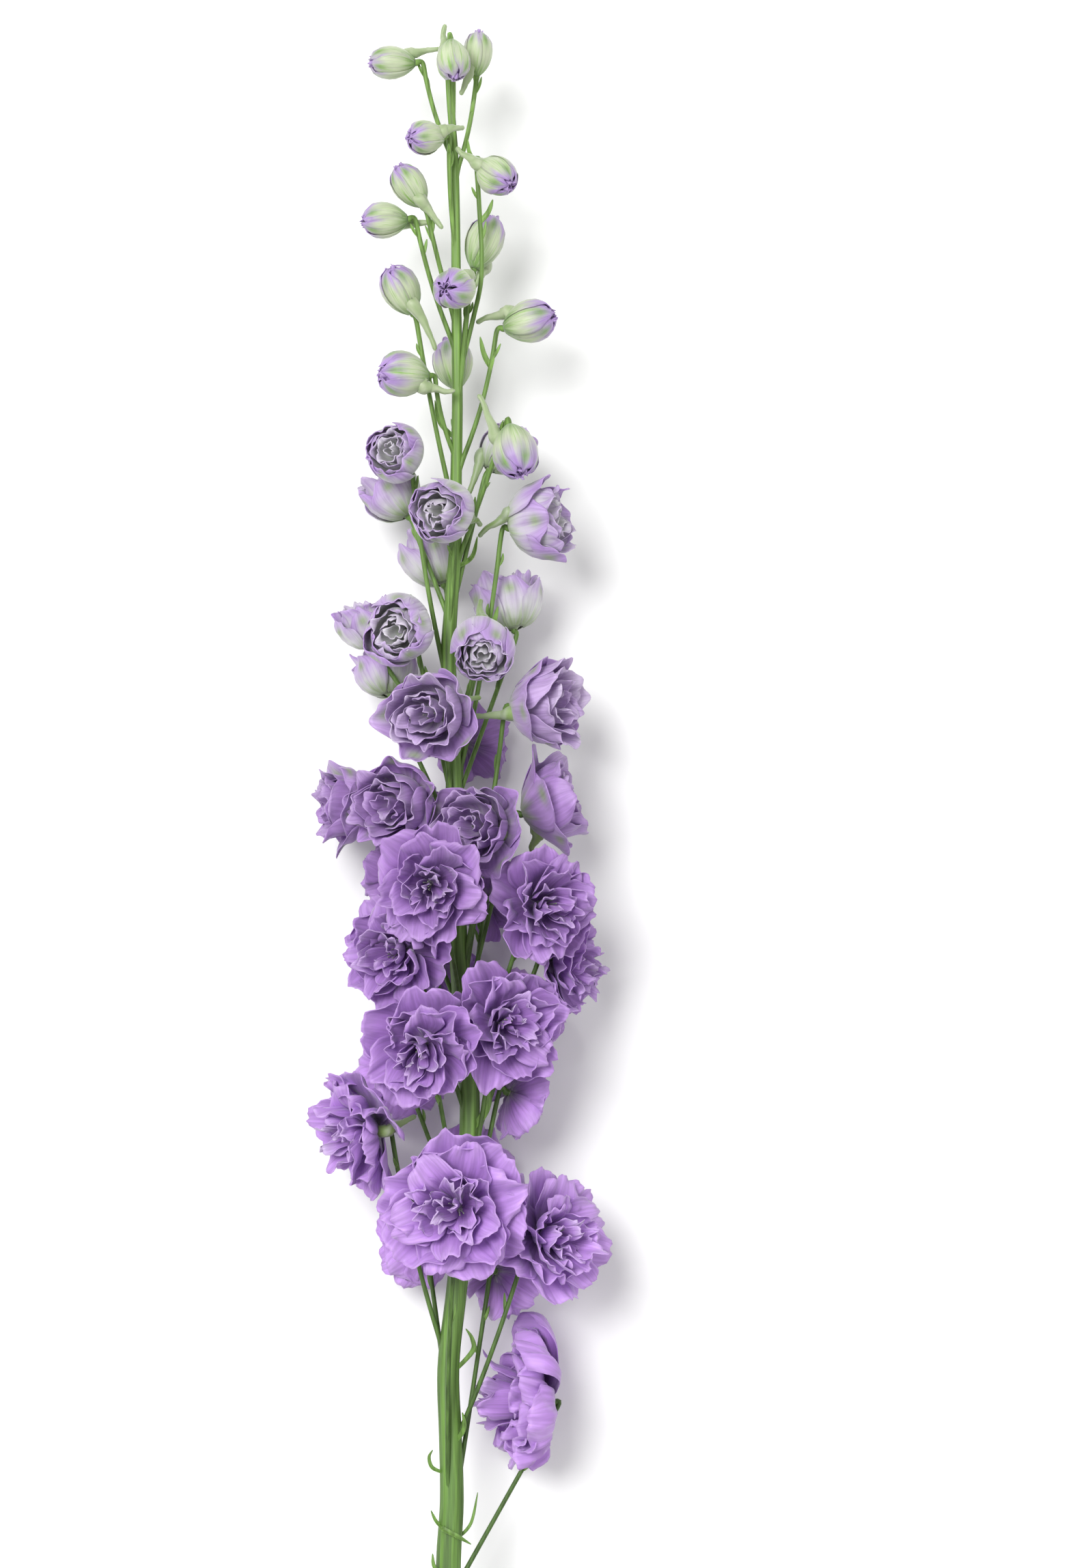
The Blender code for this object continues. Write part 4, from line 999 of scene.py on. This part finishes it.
def path_tube(name, line, wide, sides, tone=None):
    """Make a round tube along a line, with a radius for each point."""
    curve = bpy.data.curves.new(name, "CURVE")
    curve.dimensions = "3D"
    curve.bevel_depth = MM
    curve.bevel_resolution = sides // 4 - 1
    curve.use_fill_caps = True
    curve.twist_mode = "MINIMUM"
    spline = curve.splines.new("POLY")
    spline.points.add(len(line) - 1)
    for point, spot, r in zip(spline.points, line, wide):
        point.co = (*((spot + SHIFT) * MM), 1.0)
        point.radius = r
    add_object(name, curve)
    bpy.ops.object.convert(target="MESH")
    obj = bpy.context.object
    if tone is not None:
        colour_mesh(obj, tone)
    return obj


def join(main, others):
    """Join small parts into one piece."""
    bpy.ops.object.select_all(action="DESELECT")
    for obj in (*others, main):
        obj.select_set(True)
    bpy.context.view_layer.objects.active = main
    bpy.ops.object.join()
    return bpy.context.object


def still_bell(f):
    """Say whether a bloom is still a deep bell."""
    return f.kind == "bloom" and f.name in OPENING


def spur_tube(f):
    """Curled, wrinkled spur: a funnel with a thin, blunt tip."""
    rng = np.random.default_rng(SPUR_SEED + f.number)
    line = smooth_line([f.at(0.34), *f.spur_line], 9)
    part = np.linspace(0, 1, len(line))
    root = {"bud": 0.42 * f.radius, "half": 3.8, "bloom": 2.4}[f.kind]
    if still_bell(f):
        root = 3.8
    wide = np.interp(part, [0, 0.2, 0.4, 0.6, 0.8, 0.96, 1.0],
                     [root, 0.5 * root + 1.3, 1.95, 1.35, 1.05, 0.95, 0.4])
    wide = wide + 0.06 * np.sin(part * 33 + rng.uniform(0, 6)) * part
    # the tail wavers a little and its tip curls
    aside = unit(np.cross(line[-1] - line[0], rng.standard_normal(3)))
    waver = 0.35 * np.sin(part * 9.0 + rng.uniform(0, ANY_TURN)) * part * (1 - part) * 4
    line = line + np.outer(waver + 1.6 * np.maximum(part - 0.7, 0) ** 2 / 0.09, aside)
    wrinkle = rng.uniform(0, ANY_TURN)
    obj = path_tube(f.name + "_spur", line, wide, 20)
    spots = spots_of(obj)
    near = np.argmin(np.linalg.norm(spots[:, None, :] - line[None, :, :], axis=2), axis=1)
    off = spots - line[near]
    turn = np.arctan2(off[:, 2], off[:, 0])
    ridge = np.sin(5.0 * turn + wrinkle + 4.0 * part[near]) + 0.5 * np.sin(11.0 * turn + 2 * wrinkle)
    green = {"bloom": 0.84, "half": 0.72, "bud": 0.26}[f.kind] + 0.14 * part[near] - 0.16 * ridge
    colour_mesh(obj, np.clip(green, 0, 1)[:, None] * (0.0, 1.0, 0.0, 0.0))
    spots = spots + off * (0.09 * ridge)[:, None]
    obj.data.vertices.foreach_set("co", ((spots + SHIFT) * MM).reshape(-1))
    return obj


def neck_cup(f):
    """Small green swelling where the stalk meets the flower."""
    size = {"bud": 0.42, "half": 0.34, "bloom": 0.15}[f.kind] * f.radius
    wide = [1.25, 1.6, size * 0.75, size, size * 0.6]
    if f.kind == "bloom" and not still_bell(f):
        wide = [1.25, 1.4, size * 0.44, size * 0.58, size * 0.3]
    line = [f.at(part) for part in (0.0, 0.03, 0.08, 0.14, 0.20)]
    # the neck's tones: green with a little painted shade
    return path_tube(f.name + "_neck", line, wide, 12, (0.0, 0.8, 0.3, 0.0))


def stamens(f):
    """Threads with thicker tips in a bloom's heart."""
    rng = np.random.default_rng(THREAD_SEED + f.number)
    made = []
    for k in range(6):
        side = f.side(rng.uniform(0, ANY_TURN))
        aside = side * rng.uniform(0.04, 0.13) * f.radius
        foot = f.at(0.35)
        head = f.at(0.35 + rng.uniform(0.28, 0.45)) + aside
        line = [foot, (foot + head) / 2 + aside * 0.1, head - f.w * 1.3, head - f.w * 0.7,
                head + aside * 0.05]
        # the threads' tones: green with painted shade
        made.append(path_tube(f.name + "_thread_%d" % k, line, [0.2, 0.17, 0.15, 0.33, 0.12], 8,
                              (0.0, 0.85, 0.6, 0.0)))
    return made


def green_tone(spots):
    """Ribs of the stem, with painted light: crests lighter as a painted highlight; grooves, sides and
    underside darker as painted shade; cut ends paler.
    """
    x, r = stem_middle(spots[:, 1])
    far = np.hypot(spots[:, 0] - x, spots[:, 2]) / r
    crest = np.clip((far - 0.88) / 0.12, 0, 1)
    ends = np.clip(1 - far * 1.3, 0, 1)
    aside = np.clip(np.abs(spots[:, 0] - x) / r, 0, 1)
    low = np.clip(-spots[:, 2] / r, 0, 1)
    shade = np.clip(0.35 * (1 - crest) + 0.4 * low + 0.55 * aside ** 3, 0, 1)
    return np.column_stack([0.4 + 0.6 * crest, 0.22 * crest ** 2 + 0.5 * ends, shade, far])


def ribbed_stem():
    """Stem drawn out row by row from a ribbed ring."""
    rows = even_points(STEM_CURVE, 150)
    x, y, r = rows[0]
    bpy.ops.mesh.primitive_circle_add(vertices=48, radius=1.0, fill_type="NGON",
                                      rotation=(math.pi / 2, 0, 0))
    obj = bpy.context.object
    bpy.ops.object.transform_apply(location=True, rotation=True, scale=True)
    for v in obj.data.vertices:
        ang = math.atan2(v.co.z, v.co.x)
        rib = r * (1.0 - 0.055 * (0.5 + 0.5 * math.cos(7 * ang + 0.6)) - 0.025 * math.cos(3 * ang + 1)
                   - 0.012 * math.cos(17 * ang))
        v.co = (np.array([v.co.x * rib + x, y, v.co.z * rib]) + SHIFT) * MM
    bpy.ops.object.mode_set(mode="EDIT")
    bpy.ops.mesh.select_all(action="SELECT")
    for a, b in zip(rows[:-1], rows[1:]):
        step = ((b[0] - a[0]) * MM, (b[1] - a[1]) * MM, 0.0)
        bpy.ops.mesh.extrude_region_move(TRANSFORM_OT_translate={"value": step})
        grow = b[2] / a[2]
        middle = (np.array([b[0], b[1], 0.0]) + SHIFT) * MM
        bpy.ops.transform.resize(value=(grow, 1.0, grow), center_override=tuple(middle))
    bpy.ops.mesh.select_all(action="SELECT")
    bpy.ops.mesh.normals_make_consistent(inside=False)
    bpy.ops.object.mode_set(mode="OBJECT")
    colour_mesh(obj, green_tone(spots_of(obj)))
    return obj


def leaf_blade(name, width, way):
    """Narrow leaf with a groove and a fine tip."""
    line = smooth_line(way, 6)
    last = len(line) - 1
    wide = width / 2 * np.interp(np.linspace(0, 1, last + 1), [0, 0.3, 0.7, 1.0], [0.9, 1.2, 0.9, 0.15])
    bpy.ops.mesh.primitive_grid_add(x_subdivisions=4, y_subdivisions=last, size=2.0)
    obj = bpy.context.object
    obj.name = name
    for v in obj.data.vertices:
        k = int(round((v.co.y + 1) / 2 * last))
        ahead = unit(line[min(k + 1, last)] - line[max(k - 1, 0)])
        side = unit(np.cross(ahead, [0.0, 0.4, 0.9]))
        up = np.cross(side, ahead)
        v.co = (line[k] + (side * v.co.x + up * 0.35 * abs(v.co.x)) * wide[k] + SHIFT) * MM
    thicken(obj, LEAF_THICK)
    colour_mesh(obj, (0.6, 0.25, 0.0, 0.0))
    return obj


def grow_stem(flowers):
    """Stem with end bud, stalks and leaves, joined to one piece."""
    stem = ribbed_stem()
    stem.name = "green_stem"
    parts = []
    for f in flowers:
        line = smooth_line(f.stalk, 5)
        part = np.linspace(0, 1, len(line))
        wide = STALK_RADIUS * (0.86 - 0.10 * np.sin(part * 3.1) + 0.30 * ramp(0.88, 1.0, part)
                               + 0.45 * (1 - ramp(0.0, 0.12, part)))
        line = np.concatenate([line, [f.base + f.w * 0.6]])
        wide = np.append(wide, STALK_RADIUS * 1.2)
        # stalks get painted shade and a weak painted highlight, and are drawn darker lower on the spike
        high = f.base[1] / 650.0
        tone = (0.35 + 0.4 * high, 0.03 + 0.22 * high ** 2, 0.45 - 0.2 * high, 1.0)
        parts.append(path_tube(f.name + "_stalk", line, wide, 12, tone))
    for n, (width, way) in enumerate(LEAVES):
        parts.append(leaf_blade("leaf_%02d" % n, width, places(way)))
    rng = np.random.default_rng(LEAF_SEED)
    lines = {f.name: even_points(f.stalk, 101) for f in flowers}
    for name, line in lines.items():
        for place in (rng.uniform(0.62, 0.72), rng.uniform(0.76, 0.86)):
            root = line[int(place * 100)]
            ahead = unit(line[int(place * 100) + 4] - root)
            side = unit(np.cross(ahead, rng.standard_normal(3)))
            size = rng.uniform(4.5, 8.0)
            way = [root, root + ahead * size * 0.5 + side * 1.5,
                   root + ahead * size + side * rng.uniform(1.6, 3.0)]
            parts.append(leaf_blade(name + "_point", 1.15, way))
    for name, part, reach in STALK_LEAVES:
        root = lines[name][int(part * 100)]
        way = [root, root + np.array(reach) * (0.65, 0.45, 0.45), root + reach]
        parts.append(leaf_blade(name + "_leaf", 1.8, way))
    tip = STEM_CURVE[-1] * (1.0, 1.0, 0.0)
    line = smooth_line([tip + np.array([0.0, h, 0.4 * h]) for h in (-1.5, 0.5, 2.5, 4.8)], 4)
    wide = np.interp(np.linspace(0, 1, len(line)), [0, 0.3, 0.6, 0.9, 1], [1.0, 1.6, 1.5, 0.7, 0.2])
    parts.append(path_tube("end_bud", line, wide, 12, (0.5, 0.8, 0.0, 0.0)))
    stem = join(stem, parts)
    bpy.ops.object.shade_smooth_by_angle(angle=math.radians(50))
    return stem


def own(obj, node_name, slot, mat):
    """Give a finished piece its finish, tie it to its body and hide the imported part of its node."""
    obj.data.materials.clear()
    obj.data.materials.append(mat)
    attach(obj, "root")
    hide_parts(node_name)


def camera_and_light():
    """Camera straight above the spike, pale floor and soft light."""
    scene = bpy.context.scene
    data = bpy.data.cameras.new("picture_camera")
    data.sensor_fit = "AUTO"
    data.sensor_width = SENSOR
    data.lens = SENSOR * CAMERA_AWAY / PICTURE_HEIGHT
    data.clip_start = 0.05
    data.clip_end = 60.0
    cam = add_object("picture_camera", data)
    cam.location = (0.0331, 0.0313, STEM_HEIGHT * MM + CAMERA_AWAY)
    scene.camera = cam
    scene.view_settings.view_transform = "Standard"
    bpy.ops.mesh.primitive_plane_add(size=16.0, location=(0, 0, 0))
    floor = bpy.context.object
    floor.name = "pale_floor"
    mat = bpy.data.materials.new("floor_white")
    mat.use_nodes = True
    surface = {"Base Color": (0.92, 0.92, 0.915, 1), "Roughness": 0.9, "Specular IOR Level": 0.1}
    for key, value in surface.items():
        mat.node_tree.nodes["Principled BSDF"].inputs[key].default_value = value
    floor.data.materials.append(mat)
    world = bpy.data.worlds.new("soft_room")
    world.use_nodes = True
    backdrop = world.node_tree.nodes["Background"].inputs
    backdrop[0].default_value = (1.0, 1.0, 1.0, 1)
    backdrop[1].default_value = 0.57
    scene.world = world
    for name, spot, spread, strength in LAMPS:
        lamp = bpy.data.lights.new(name, "SUN")
        lamp.angle = math.radians(spread)
        lamp.energy = strength
        obj = add_object(name, lamp)
        obj.location = spot
        x, y, z = spot
        obj.rotation_euler = (math.atan2(math.hypot(x, y), z), 0.0, math.atan2(-y, -x) - math.pi / 2)


def build():
    """Build every piece of the spike."""
    camera_and_light()
    flowers = place_flowers()
    # how each kind grows, its slot, its finish and the thickness of its petals
    kinds = {"bud": (grow_bud, "bud", BUD_CREAM, CUP_WALL),
             "half": (grow_half, "half_open", HALF_LILAC, CUP_WALL),
             "bloom": (grow_bloom, "petal", PETAL_VIOLET, BLOOM_WALL)}
    for f in flowers:
        grow, slot, mat, wall = kinds[f.kind]
        if still_bell(f):
            grow = grow_half
        obj = grow(f, BACK_DETAIL if f.name in BACK_FLOWERS else NEAR_DETAIL).finish(wall)
        parts = [neck_cup(f)]
        if f.spur_line is not None:
            parts.append(spur_tube(f))
        if f.kind == "bloom" and f.name not in BACK_FLOWERS:
            parts.extend(stamens(f))
        obj = join(obj, parts)
        bpy.ops.object.shade_smooth()
        own(obj, f.name, slot, BELL_LILAC if f.name in PALER else mat)
    own(grow_stem(flowers), "stem", "stem", STEM_GREEN)


build()
